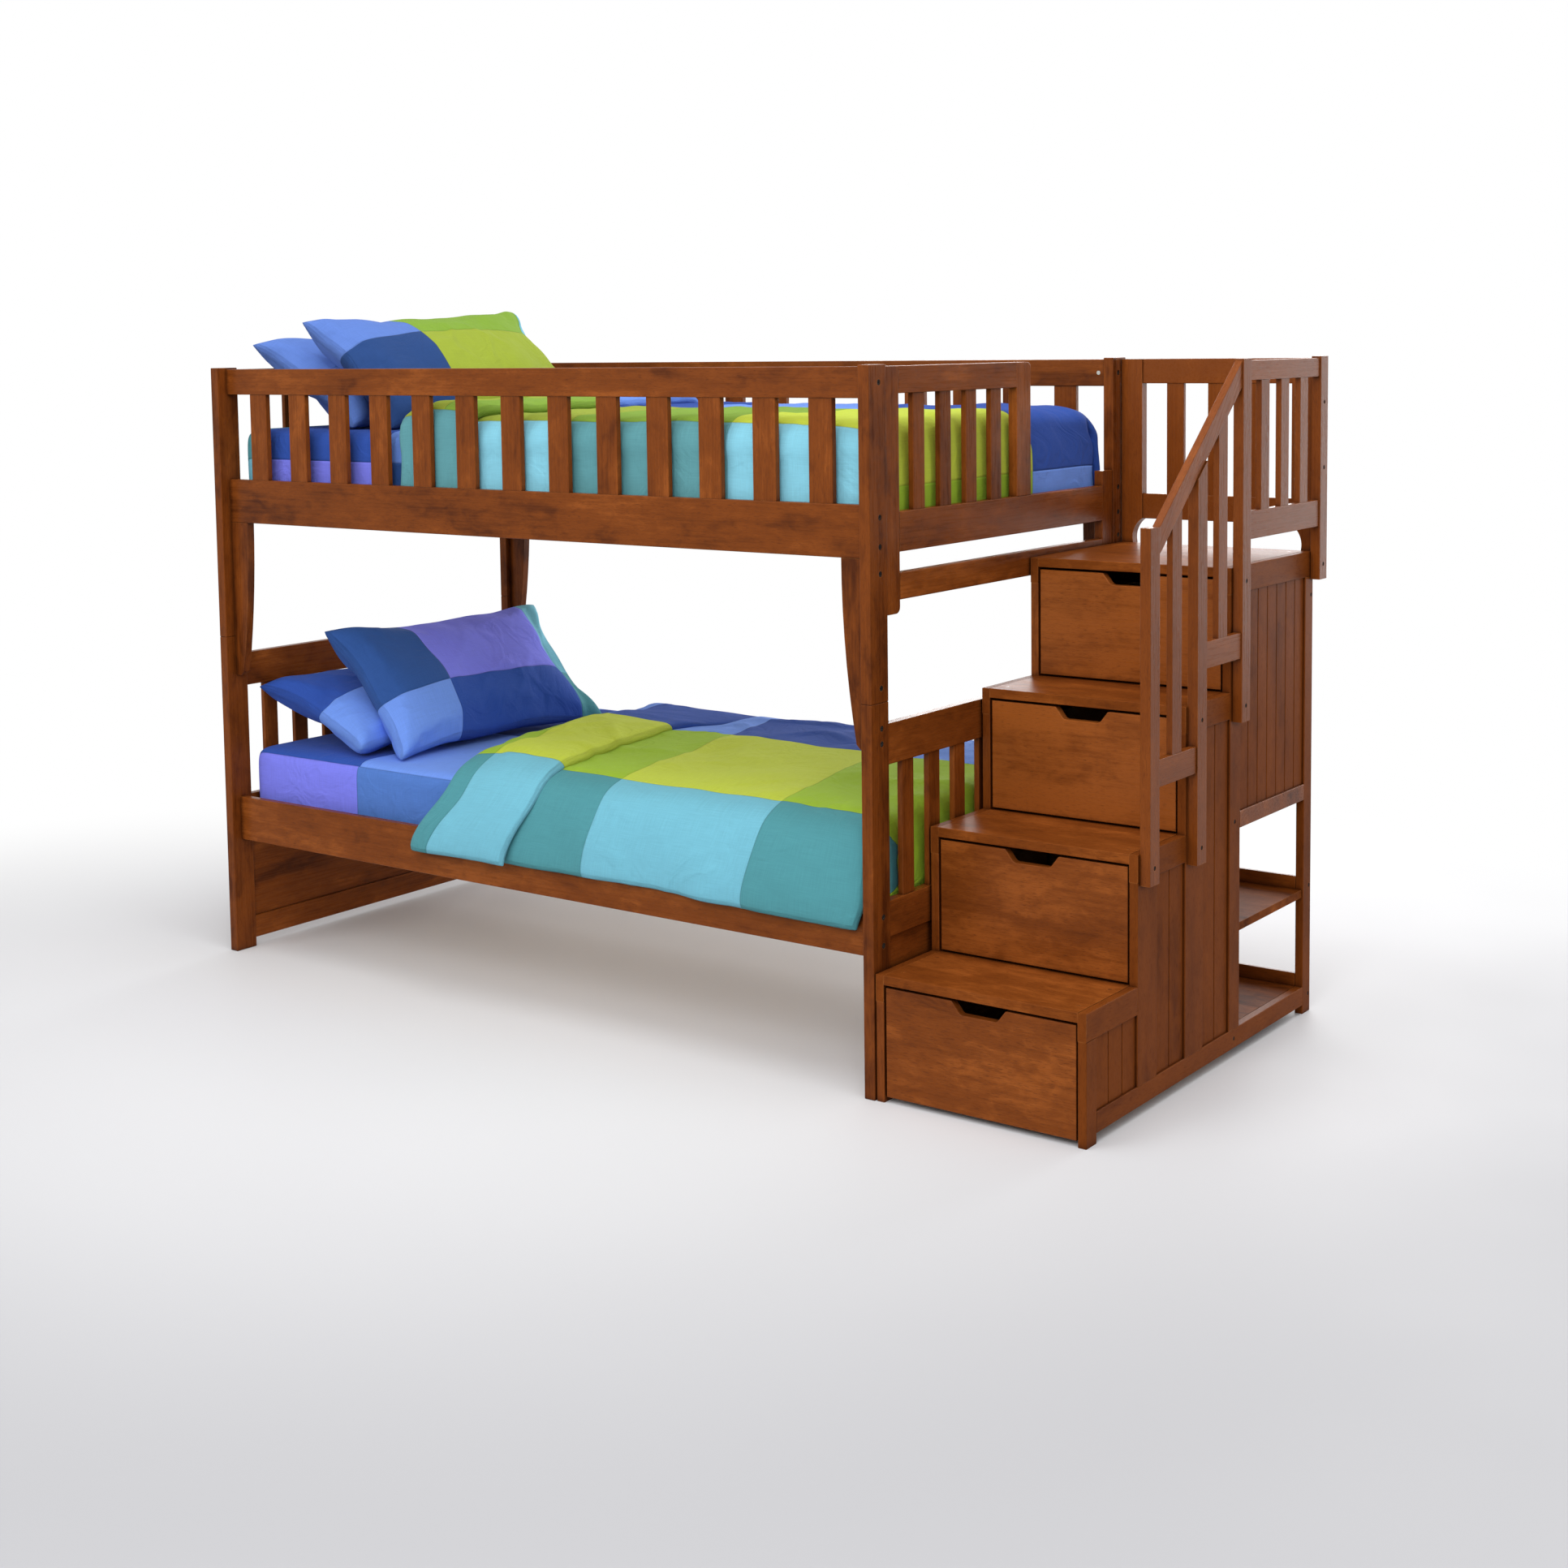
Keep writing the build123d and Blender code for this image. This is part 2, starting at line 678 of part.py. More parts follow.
# Grooved boards of the right side, and plain panels of the left side
bay_starts = [base_rail_y, step_y[1] + stile_width, step_y[2] + stile_width, shelf_y]
bay_ends = step_y[1:] + [rear_post_y]
bay_feet = [base_top, base_top, base_top, shelf_head_top]
bay_heads = [z - cap_height for z in step_z]
board_x = tower_x1 - board_recess - board_thick
beadboard_groups = []
for start, end, foot, head in zip(bay_starts, bay_ends, bay_feet, bay_heads):
    count = round((end - start) / board_width)
    width = (end - start - (count - 1) * board_gap) / count
    board = bar(board_thick, width, head - foot, Axis.Z, board_groove)
    beadboard_groups.append((board, [(board_x, start + n * (width + board_gap), foot) for n in range(count)]))
place_bars("beadboards", beadboard_groups)

left_panel_x = tower_x0 + board_recess
with BuildPart() as tower_left_panels:
    for start, end, foot, head in zip(bay_starts, bay_ends, bay_feet, bay_heads):
        with Locations((left_panel_x, start, foot)):
            Box(board_thick, end - start, head - foot, align=(Align.MIN, Align.MIN, Align.MIN))
save(tower_left_panels, "tower_left_panels")

# Open shelves at the rear
shelf_depth = rear_post_y - shelf_y
shelf_head_rail = bar(stile_thick, shelf_depth, shelf_head_height, Axis.Y)
place_bars("shelf_head_rails", [(shelf_head_rail, [(x, shelf_y, shelf_head_z) for x in side_xs])])

mid_shelf_width = tower_x1 - shelf_edge_inset - tower_in_x0
bottom_shelf = bar(tower_in_width, shelf_depth, shelf_thick, Axis.X)
mid_shelf = bar(mid_shelf_width, shelf_depth, shelf_thick, Axis.X)
place_bars(
    "shelf_boards",
    [
        (bottom_shelf, [(tower_in_x0, shelf_y, base_top - shelf_thick)]),
        (mid_shelf, [(tower_in_x0, shelf_y, mid_shelf_z)]),
        (bottom_shelf, [(tower_in_x0, shelf_y, shelf_head_top - shelf_thick)]),
    ],
)
bottom_lip = bar(tower_in_width, panel_thick, base_top + shelf_lip_lift - base_rail_z, Axis.X)
mid_lip = bar(tower_in_width, panel_thick, shelf_lip_height, Axis.X)
top_lip = bar(tower_in_width, panel_thick, shelf_head_height, Axis.X)
place_bars(
    "shelf_lips",
    [
        (bottom_lip, [(tower_in_x0, rear_post_y, base_rail_z)]),
        (mid_lip, [(tower_in_x0, rear_post_y, mid_lip_z)]),
        (top_lip, [(tower_in_x0, rear_post_y, shelf_head_z)]),
    ],
)
with BuildPart() as shelf_partition:
    with Locations((tower_in_x0, partition_y, base_top)):
        Box(
            tower_in_width,
            panel_thick,
            shelf_head_top - base_top,
            align=(Align.MIN, Align.MIN, Align.MIN),
        )
save(shelf_partition, "shelf_partition")

with BuildPart() as tower_back_panel:
    with Locations((tower_in_x0, rear_post_y, shelf_head_top)):
        Box(
            tower_in_width,
            back_panel_thick,
            step_z[3] - tread_thick - shelf_head_top,
            align=(Align.MIN, Align.MIN, Align.MIN),
        )
save(tower_back_panel, "tower_back_panel")

# Drawers and the runners that carry them
drawer_feet = [drawer_floor_gap] + [z + drawer_foot_gap for z in step_z[:-1]]
drawer_heads = [z - tread_thick - drawer_top_gap for z in step_z]
drawer_bay_ends = [partition_y, partition_y, rear_post_y, rear_post_y]
front_x0 = tower_in_x0 + drawer_side_gap
front_width = tower_in_width - 2 * drawer_side_gap
box_x0 = tower_in_x0 + box_side_inset
box_width = tower_in_width - 2 * box_side_inset
box_inner = box_width - 2 * (box_wall + box_joint_gap)
tower_mid_x = (tower_x0 + tower_x1) / 2
pull_half = pull_width / 2

for n in range(step_count):
    foot = drawer_feet[n]
    head = drawer_heads[n]
    front_face_y = step_y[n] + drawer_inset
    box_y = front_face_y + drawer_front_thick
    box_end = drawer_bay_ends[n] - box_rear_gap
    box_z = foot + box_lift
    with BuildPart() as drawer_front:
        with BuildSketch(Plane.XZ.offset(-front_face_y)) as front_outline:
            with BuildLine():
                Polyline(
                    (tower_mid_x - pull_half, head),
                    (front_x0, head),
                    (front_x0, foot),
                    (front_x0 + front_width, foot),
                    (front_x0 + front_width, head),
                    (tower_mid_x + pull_half, head),
                    (tower_mid_x + pull_half - pull_slope, head - pull_depth),
                    (tower_mid_x - pull_half + pull_slope, head - pull_depth),
                    close=True,
                )
            make_face()
            fillet(front_outline.vertices().group_by(Axis.Y)[1], pull_foot_radius)
            lips = front_outline.vertices().group_by(Axis.Y)[-1]
            fillet(lips.sort_by(lambda lip: abs(lip.X - tower_mid_x))[:2], pull_lip_radius)
        extrude(amount=-drawer_front_thick)
        fillet(drawer_front.faces().sort_by(Axis.Y)[0].edges(), edge_ease)
    save(drawer_front, f"drawer_{n + 1}_front")

    with BuildPart() as drawer_box:
        side_length = box_end - box_y
        with Locations((box_x0, box_y, box_z), (box_x0 + box_width - box_wall, box_y, box_z)):
            Box(box_wall, side_length, box_height, align=(Align.MIN, Align.MIN, Align.MIN))
        inner_x = box_x0 + box_wall + box_joint_gap
        bottom_z = box_z + box_bottom_lift
        with Locations((inner_x, box_end - box_wall, box_z)):
            Box(box_inner, box_wall, box_height, align=(Align.MIN, Align.MIN, Align.MIN))
        with Locations((inner_x, box_y, bottom_z)):
            Box(
                box_inner,
                side_length - box_wall - box_joint_gap,
                box_bottom_thick,
                align=(Align.MIN, Align.MIN, Align.MIN),
            )
    save(drawer_box, f"drawer_{n + 1}_box")

runner_groups = []
for n in range(step_count):
    runner_y = step_y[n] + drawer_inset + drawer_front_thick + runner_front_gap
    runner = bar(runner_width, drawer_bay_ends[n] - runner_y, runner_height, Axis.Y)
    runner_z = drawer_feet[n] + box_lift - runner_gap - runner_height
    runner_groups.append(
        (runner, [(x, runner_y, runner_z) for x in (tower_in_x0, tower_in_x1 - runner_width)])
    )
place_bars("drawer_runners", runner_groups)

# Handrail posts beside the stairs, and the rails and slats between them
hand_ys = [y + handrail_post_shift for y in step_y[1:]]
corner_post_y = back_y - handrail_post_width
hand_foot_zs = [step_z[1] - cap_height - handrail_post_drop, step_z[2] - cap_height - handrail_post_drop]
slope_y0 = hand_ys[0] + handrail_post_width
slope_y1 = hand_ys[2]
slope_z0 = handrail_low_z - slope_rail_drop
slope_z1 = guard_top_z
slope = (slope_z1 - slope_z0) / (slope_y1 - slope_y0)
rail_x = tower_x1 + (handrail_thick - handrail_rail_thick) / 2


def under_slope(y):
    """Height of the underside of the sloped handrail at a depth."""
    return slope_z0 - slope_rail_depth + slope * (y - slope_y0)


def sloped_stick(y, width, foot):
    """Outline points of an upright whose head follows the sloped rail."""
    return [(y, foot), (y + width, foot), (y + width, under_slope(y + width)), (y, under_slope(y))]


hand_post = bar(handrail_thick, handrail_post_width, handrail_low_z - hand_foot_zs[0], Axis.Z)
tall_post = bar(handrail_thick, handrail_post_width, bed_height - hand_foot_zs[1], Axis.Z)
corner_post = bar(handrail_thick, handrail_post_width, bed_height - platform_foot_z, Axis.Z)
cap_joints = [
    (hand_ys[0], step_z[1]),
    (hand_ys[1], step_z[1]),
    (hand_ys[1], step_z[2]),
    (hand_ys[2], step_z[2]),
    (hand_ys[2], step_z[3]),
    (corner_post_y, step_z[3]),
]
cap_bolts = [(y, z - cap_height / 2) for y, z in cap_joints]
corner_bolts = [(corner_post_y, bed_height - drop) for drop in corner_bolt_drops]
cap_bolt_places = [
    Location((tower_x1 + handrail_thick, y + handrail_post_width / 2, z), (0, 90, 0))
    for y, z in cap_bolts + corner_bolts
]
with BuildPart() as handrail_posts:
    with Locations((tower_x1, hand_ys[0], hand_foot_zs[0])):
        add(hand_post)
    with Locations((tower_x1, hand_ys[2], hand_foot_zs[1])):
        add(tall_post)
    with Locations((tower_x1, corner_post_y, platform_foot_z)):
        add(corner_post)
    with BuildSketch(Plane.YZ.offset(tower_x1)):
        with BuildLine():
            Polyline(
                *sloped_stick(hand_ys[1], handrail_post_width, hand_foot_zs[0]),
                close=True,
            )
        make_face()
    extrude(amount=handrail_thick)
    with Locations(*cap_bolt_places):
        Cylinder(
            plug_dia / 2 + bolt_clearance,
            cap_bolt_recess,
            align=(Align.CENTER, Align.CENTER, Align.MAX),
            mode=Mode.SUBTRACT,
        )
save(handrail_posts, "handrail_posts")

stair_rail_zs = [step_z[1] + stair_rail_lift, step_z[2] + stair_rail_lift - stair_rail_height]
stair_rail_length = step_run - handrail_post_width
stair_rail = bar(handrail_rail_thick, stair_rail_length, stair_rail_height, Axis.Y)
with BuildPart() as handrail_rails:
    with BuildSketch(Plane.YZ.offset(rail_x)):
        with BuildLine():
            Polyline(
                (slope_y0, slope_z0 - slope_rail_depth),
                (slope_y1, slope_z1 - slope_rail_depth),
                (slope_y1, slope_z1),
                (slope_y0, slope_z0),
                close=True,
            )
        make_face()
    extrude(amount=handrail_rail_thick)
    sloped_edges = handrail_rails.edges().filter_by(Axis.X, reverse=True).filter_by(Axis.Z, reverse=True)
    fillet(sloped_edges, edge_ease)
    with Locations(*[(rail_x, y + handrail_post_width, z) for y, z in zip(hand_ys, stair_rail_zs)]):
        add(stair_rail)
save(handrail_rails, "handrail_rails")

slat_x = tower_x1 + (handrail_thick - end_slat_thick) / 2
platform_y = hand_ys[2] + handrail_post_width
platform_span = corner_post_y - platform_y
platform_top_z = guard_top_z - platform_top_rail_height
platform_low_top = platform_low_rail_z + platform_low_rail_height
back_guard_x = tower_x0 + back_stile_width
back_guard_span = tower_width - 2 * back_stile_width
back_top_z = guard_top_z - back_top_rail_height
back_rail_y = tower_y1 + (guard_thick - handrail_rail_thick) / 2
back_slat_y = tower_y1 + (guard_thick - end_slat_thick) / 2
side_slat = bar(end_slat_thick, end_slat_width, platform_top_z - platform_low_top, Axis.Z)
back_slat = bar(end_slat_width, end_slat_thick, back_top_z - platform_low_top, Axis.Z)

with BuildPart() as stair_guard_slats:
    for y, z in zip(hand_ys, stair_rail_zs):
        slat_y = y + (handrail_post_width + step_run - end_slat_width) / 2
        with BuildSketch(Plane.YZ.offset(slat_x)):
            with BuildLine():
                Polyline(
                    *sloped_stick(slat_y, end_slat_width, z + stair_rail_height),
                    close=True,
                )
            make_face()
        extrude(amount=end_slat_thick)
    fillet(stair_guard_slats.edges().filter_by(Axis.Z), edge_ease)
    side_ys = spaced(platform_y, platform_span, platform_slat_count, end_slat_width)
    with Locations(*[(slat_x, y, platform_low_top) for y in side_ys]):
        add(side_slat)
    back_xs = spaced(back_guard_x, back_guard_span, platform_slat_count, end_slat_width)
    with Locations(*[(x, back_slat_y, platform_low_top) for x in back_xs]):
        add(back_slat)
save(stair_guard_slats, "stair_guard_slats")

side_top_rail = bar(handrail_rail_thick, platform_span, platform_top_rail_height, Axis.Y)
side_low_rail = bar(handrail_rail_thick, platform_span, platform_low_rail_height, Axis.Y)
back_top_rail = bar(back_guard_span, handrail_rail_thick, back_top_rail_height, Axis.X)
back_low_rail = bar(back_guard_span, handrail_rail_thick, platform_low_rail_height, Axis.X)
place_bars(
    "platform_guard_rails",
    [
        (side_top_rail, [(rail_x, platform_y, platform_top_z)]),
        (side_low_rail, [(rail_x, platform_y, platform_low_rail_z)]),
        (back_top_rail, [(back_guard_x, back_rail_y, back_top_z)]),
        (back_low_rail, [(back_guard_x, back_rail_y, platform_low_rail_z)]),
    ],
)

# Back stiles of the platform guard, each with a rounded cut at its foot
arch_top = platform_low_rail_z
arch_foot = step_z[3]
arch_reach = back_stile_width - back_stile_foot_width
arch_turn = radians(45)
arch_mid_x = back_stile_foot_width + arch_reach * (1 - cos(arch_turn))
arch_mid_z = arch_foot + (arch_top - arch_foot) * sin(arch_turn)
with BuildPart() as arched_stile:
    with BuildSketch(Plane.XZ):
        with BuildLine():
            Polyline(
                (back_stile_width, arch_top),
                (back_stile_width, guard_top_z),
                (0, guard_top_z),
                (0, platform_foot_z),
                (back_stile_foot_width, platform_foot_z),
                (back_stile_foot_width, arch_foot),
            )
            ThreePointArc(
                (back_stile_foot_width, arch_foot),
                (arch_mid_x, arch_mid_z),
                (back_stile_width, arch_top),
            )
        make_face()
    extrude(amount=-guard_thick)
with BuildPart() as platform_back_stiles:
    with Locations((tower_x0, tower_y1, 0)):
        add(arched_stile.part)
    with Locations(Location((tower_x1, back_y, 0), (0, 0, 180))):
        add(arched_stile.part)
save(platform_back_stiles, "platform_back_stiles")

# Bolts that hold the handrail posts to the tower, set below the faces of the posts
place_bolts("handrail_bolts", cap_bolt_places)

# Mattresses
mattress_zs = [z + bed_slat_thick for z in base_zs]
mattress_x = inner_head_x + mattress_head_gap + mattress_length / 2
for name, z in zip(("lower_mattress", "upper_mattress"), mattress_zs):
    with BuildPart() as mattress:
        with Locations((mattress_x, 0, z)):
            Box(
                mattress_length,
                mattress_width,
                mattress_height,
                align=(Align.CENTER, Align.CENTER, Align.MIN),
            )
        fillet(mattress.edges().filter_by(Axis.Z), mattress_round)
        fillet(mattress.faces().sort_by(Axis.Z)[-1].edges(), mattress_edge_round)
    save(mattress, name)

mattress_tops = [z + mattress_height for z in mattress_zs]
mattress_front = -mattress_width / 2
mattress_back = mattress_width / 2
mattress_foot = mattress_x + mattress_length / 2

# Lower duvet, turned back near the head and hanging over the front rail in soft folds
duvet_x1 = mattress_foot + cloth_gap + foot_drop_thick
duvet_x0 = duvet_x1 - duvet_length
hang_y = rail_front_y - cloth_gap
foot_drop_width = mattress_width - 2 * mattress_round


def hanging_section(x, rise):
    """Outline across the bed of the lower duvet at one station along it."""
    swing = duvet_wave * sin(2 * pi * duvet_folds * (x - duvet_x0) / duvet_length)
    low = mattress_tops[0] + cloth_gap
    top = low + duvet_thick + rise
    outer = hang_y - duvet_hang_thick - rise / 2 + swing
    return [
        (mattress_back, low),
        (mattress_front, low),
        (hang_y, low - mattress_edge_round * 2),
        (hang_y, duvet_hem_z),
        (outer, duvet_hem_z - swing),
        (outer, low - mattress_edge_round),
        (mattress_front, top),
        (mattress_back - duvet_thick, top),
    ]


with BuildPart() as lower_duvet:
    for n in range(duvet_stations):
        x = duvet_x0 + duvet_length * n / (duvet_stations - 1)
        rise = duvet_fold_rise if x - duvet_x0 < duvet_fold_length else 0.0
        with BuildSketch(Plane.YZ.offset(x)):
            with BuildLine():
                Polyline(*hanging_section(x, rise), close=True)
            make_face()
    loft(ruled=True)
    with Locations((duvet_x1, 0, mattress_tops[0] - foot_drop_hem)):
        Box(
            foot_drop_thick,
            foot_drop_width,
            foot_drop_hem + duvet_thick / 2,
            align=(Align.MAX, Align.CENTER, Align.MIN),
        )
save(lower_duvet, "lower_duvet")

# Upper duvet, tucked down inside the guards
tuck_front = rail_front_y + rail_thick + tuck_gap
tuck_back = rail_back_y - tuck_gap
tuck_thick = mattress_front - tuck_front - tuck_gap
tuck_hem_z = upper_rail_top + tuck_hem_lift
upper_low = mattress_tops[1] + cloth_gap
with BuildPart() as upper_duvet:
    with BuildSketch(Plane.YZ.offset(duvet_x0)):
        with BuildLine():
            Polyline(
                (tuck_front + tuck_thick, tuck_hem_z),
                (tuck_front, tuck_hem_z),
                (tuck_front, upper_low),
                (tuck_front + duvet_thick, upper_low + duvet_thick),
                (tuck_back - duvet_thick, upper_low + duvet_thick),
                (tuck_back, upper_low),
                (tuck_back, tuck_hem_z),
                (tuck_back - tuck_thick, tuck_hem_z),
                (tuck_back - tuck_thick, upper_low),
                (tuck_front + tuck_thick, upper_low),
                close=True,
            )
        make_face()
    extrude(amount=duvet_length)
    with Locations((duvet_x1, 0, mattress_tops[1] - foot_drop_hem)):
        Box(
            foot_drop_thick,
            foot_drop_width,
            foot_drop_hem + duvet_thick / 2,
            align=(Align.MAX, Align.CENTER, Align.MIN),
        )
save(upper_duvet, "upper_duvet")


def pillow(place, length, width, thick):
    """A crowned pillow whose sides are drawn in between its corners."""
    with BuildPart() as cushion:
        for level, share in pillow_levels:
            half_l = length * share / 2
            half_w = width * share / 2
            mid_l = half_l - pillow_draw_in * share
            mid_w = half_w - pillow_draw_in * share
            with BuildSketch(place.offset(level * thick)):
                with BuildLine():
                    ThreePointArc((-half_w, -half_l), (0, -mid_l), (half_w, -half_l))
                    ThreePointArc((half_w, -half_l), (mid_w, 0), (half_w, half_l))
                    ThreePointArc((half_w, half_l), (0, mid_l), (-half_w, half_l))
                    ThreePointArc((-half_w, half_l), (-mid_w, 0), (-half_w, -half_l))
                make_face()
        loft(ruled=True)
    return cushion


def pillow_plane(x, y, z, tilt, yaw=0.0):
    """Plane of a pillow: its X climbs towards the head, its Y runs across the bed."""
    lean = radians(tilt)
    turn = radians(yaw)
    x_dir = (-cos(lean) * cos(turn), cos(lean) * sin(turn), sin(lean))
    normal = (sin(lean) * cos(turn), -sin(lean) * sin(turn), cos(lean))
    return Plane(origin=(x, y, z), x_dir=x_dir, z_dir=normal)


for n, bunk in enumerate(("lower", "upper")):
    top = mattress_tops[n]
    lean_x = inner_head_x + lean_pillow_xs[n]
    lean_z = top + lean_pillow_rises[n]
    lean_place = pillow_plane(lean_x, lean_pillow_y, lean_z, lean_angles[n], lean_yaws[n])
    lean_pillow = pillow(lean_place, pillow_length, pillow_width, pillow_thick)
    save(lean_pillow, f"{bunk}_lean_pillow")
    flat_x = inner_head_x + flat_pillow_xs[n]
    flat_place = pillow_plane(flat_x, flat_pillow_y, top + flat_pillow_rises[n], flat_angles[n])
    flat_pillow = pillow(flat_place, flat_pillow_length, flat_pillow_width, flat_pillow_thick)
    save(flat_pillow, f"{bunk}_flat_pillow")
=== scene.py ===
import math

import bpy
import numpy as np
from mathutils import Color, Matrix, Vector


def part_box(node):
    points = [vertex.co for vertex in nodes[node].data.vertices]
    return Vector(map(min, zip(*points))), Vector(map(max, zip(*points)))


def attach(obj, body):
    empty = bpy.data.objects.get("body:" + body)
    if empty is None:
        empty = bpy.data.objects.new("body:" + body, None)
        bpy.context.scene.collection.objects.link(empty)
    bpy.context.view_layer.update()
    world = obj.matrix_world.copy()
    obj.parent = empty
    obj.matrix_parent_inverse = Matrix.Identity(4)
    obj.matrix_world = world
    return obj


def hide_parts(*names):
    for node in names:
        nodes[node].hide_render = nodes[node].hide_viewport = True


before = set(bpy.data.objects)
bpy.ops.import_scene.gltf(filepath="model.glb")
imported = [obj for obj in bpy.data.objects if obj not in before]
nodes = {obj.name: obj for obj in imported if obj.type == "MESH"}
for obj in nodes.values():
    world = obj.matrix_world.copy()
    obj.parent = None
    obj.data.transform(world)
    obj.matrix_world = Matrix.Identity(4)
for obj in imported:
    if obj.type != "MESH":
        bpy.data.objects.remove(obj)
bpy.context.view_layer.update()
scene = bpy.context.scene
scene.view_settings.view_transform = "Standard"

DISPLAY_TOP = 255.0


def dye(red, green, blue):
    """Linear colour of a stain or dye given by its display values from 0 to 255."""
    shown = Color([value / DISPLAY_TOP for value in (red, green, blue)])
    return (*shown.from_srgb_to_scene_linear(), 1.0)


# tones of the stained show wood: pores, body, lit figure, edges worn pale that also stand in for painted
# highlights, and a dark joint tone for stain gathered there that also paints in shade
STAIN_TONES = (dye(74, 34, 12), dye(118, 60, 20), dye(152, 83, 33), dye(182, 118, 64), dye(44, 18, 6))
# the same for the bare softwood inside the drawers and under the mattresses
BARE_TONES = (dye(176, 134, 88), dye(206, 168, 120), dye(226, 194, 150), dye(232, 206, 168), dye(120, 88, 54))
# bolt heads and barrel nuts
BOLT_BLACK = dye(38, 34, 32)
BOLT_WORN = dye(104, 98, 92)
NUT_STEEL = dye(178, 176, 172)
NUT_DULL = dye(132, 130, 127)
# dyed cottons of the bedding
NAVY = dye(50, 85, 150)
ROYAL = dye(49, 82, 167)
PERIWINKLE = dye(113, 152, 236)
# the next two are darker copies of periwinkle and navy for the upper pillows: painted shade
PAINTED_SHADE_PERIWINKLE = dye(96, 128, 202)
PAINTED_SHADE_NAVY = dye(43, 72, 126)
PURPLE = dye(124, 128, 236)
MID_BLUE = dye(82, 122, 196)
TEAL = dye(80, 147, 155)
AQUA = dye(115, 184, 204)
# the next two are lighter copies of teal and aqua for the front of the upper duvet: painted light
PAINTED_LIGHT_TEAL = dye(95, 154, 161)
PAINTED_LIGHT_AQUA = dye(134, 202, 222)
LIME = dye(192, 207, 68)
GREEN = dye(155, 190, 50)
# the next two are darker copies of green and lime for the upper pillow and the head of the upper duvet:
# painted shade
PAINTED_SHADE_GREEN = dye(130, 165, 58)
PAINTED_SHADE_LIME = dye(154, 170, 58)
TICKING = dye(226, 222, 212)
# studio
FLOOR_GREY = dye(224, 224, 226)
# grey that the floor turns towards the front and right: painted shade
FLOOR_PAINTED_SHADE_GREY = dye(183, 183, 186)
WHITE = (1.0, 1.0, 1.0, 1.0)

# ways a board's grain can run
ALONG_BED = "along the bed"
ACROSS_BED = "across the bed"
UPRIGHT = "upright"
UP_THE_STAIR = "up the stair"
STRAIGHT_RUNS = (ALONG_BED, ACROSS_BED, UPRIGHT)

TINY = 1e-9


# helpers for shader nodes
def wire(tree, value, socket):
    """Feeds a socket from another socket or from a plain value."""
    if isinstance(value, bpy.types.NodeSocket):
        tree.links.new(value, socket)
    else:
        socket.default_value = value


def feed(tree, node, inputs):
    for key, value in inputs.items():
        wire(tree, value, node.inputs[key])


def add(tree, kind, inputs=None, **settings):
    made = tree.nodes.new(kind)
    for key, value in settings.items():
        setattr(made, key, value)
    feed(tree, made, inputs or {})
    return made


def calc(tree, operation, *values):
    return add(tree, "ShaderNodeMath", dict(enumerate(values)), operation=operation).outputs[0]


# sockets of a mix node: the factor and the two choices, and the mixed colour
COLOUR_MIX = (0, 6, 7)
VALUE_MIX = (0, 2, 3)
MIXED_COLOUR = 2


def mix_colour(tree, factor, first, second, mode="MIX"):
    inputs = dict(zip(COLOUR_MIX, (factor, first, second)))
    made = add(tree, "ShaderNodeMix", inputs, data_type="RGBA", blend_type=mode, clamp_factor=True)
    return made.outputs[MIXED_COLOUR]


def mix_value(tree, factor, first, second):
    inputs = dict(zip(VALUE_MIX, (factor, first, second)))
    return add(tree, "ShaderNodeMix", inputs, data_type="FLOAT", clamp_factor=True).outputs[0]


def spread(tree, value, low, high, to_low=0.0, to_high=1.0):
    """Value between low and high, eased to the range asked for."""
    made = add(
        tree,
        "ShaderNodeMapRange",
        {"Value": value, "From Min": low, "From Max": high, "To Min": to_low, "To Max": to_high},
        interpolation_type="SMOOTHSTEP",
        clamp=True,
    )
    return made.outputs[0]


def cloud(tree, vector, scale, detail, roughness=0.5, distortion=0.0):
    """Noise with its own scale along each axis of the vector."""
    place = add(tree, "ShaderNodeVectorMath", {0: vector, 1: scale}, operation="MULTIPLY").outputs[0]
    values = {"Vector": place, "Scale": 1.0, "Detail": detail, "Roughness": roughness}
    return add(tree, "ShaderNodeTexNoise", {**values, "Distortion": distortion}).outputs[0]


def object_place(tree):
    return add(tree, "ShaderNodeTexCoord").outputs["Object"]


def seen_straight(tree):
    """One for rays that show the white room itself, and zero for the light it gives."""
    paths = add(tree, "ShaderNodeLightPath").outputs
    seen = calc(tree, "MAXIMUM", paths["Is Camera Ray"], paths["Is Glossy Ray"])
    return calc(tree, "MAXIMUM", seen, paths["Is Transmission Ray"])


FLOAT, VECTOR, COLOUR = "NodeSocketFloat", "NodeSocketVector", "NodeSocketColor"


def new_group(name, inputs, outputs):
    group = bpy.data.node_groups.new(name, "ShaderNodeTree")
    for title, kind, start in inputs:
        socket = group.interface.new_socket(name=title, in_out="INPUT", socket_type=kind)
        if start is not None:
            socket.default_value = start
    for title, kind in outputs:
        group.interface.new_socket(name=title, in_out="OUTPUT", socket_type=kind)
    given = group.nodes.new("NodeGroupInput").outputs
    result = group.nodes.new("NodeGroupOutput").inputs
    return group, given, result


# effects shared by the finishes; noise scales are per metre, the one along the grain first
BOARD_TO_BOARD = (0.22, 6.3, 6.3)
BROAD_FIGURE = (1.6, 16.0, 16.0)
STAIN_PATCHES = (4.0, 9.0, 9.0)
STAIN_BLOTCHES = (14.0, 30.0, 30.0)
GRAIN_STREAKS = (7.0, 170.0, 170.0)
PORE_FLECKS = (70.0, 900.0, 900.0)
BOARD_SWING, PATCH_SWING, BLOTCH_SWING, STREAK_SWING = 0.34, 0.70, 0.60, 0.36
MIDDLE_TONE = 0.5
PORE_BAND = (0.57, 0.70)
DEEP_TO_BODY = (0.10, 0.52)
BODY_TO_LIT = (0.48, 0.90)
PORE_STAIN = 0.5
SATIN, STREAK_SATIN, PORE_SATIN = 0.20, 0.16, 0.12
STREAK_HEIGHT, PORE_HEIGHT = 0.45, -0.8


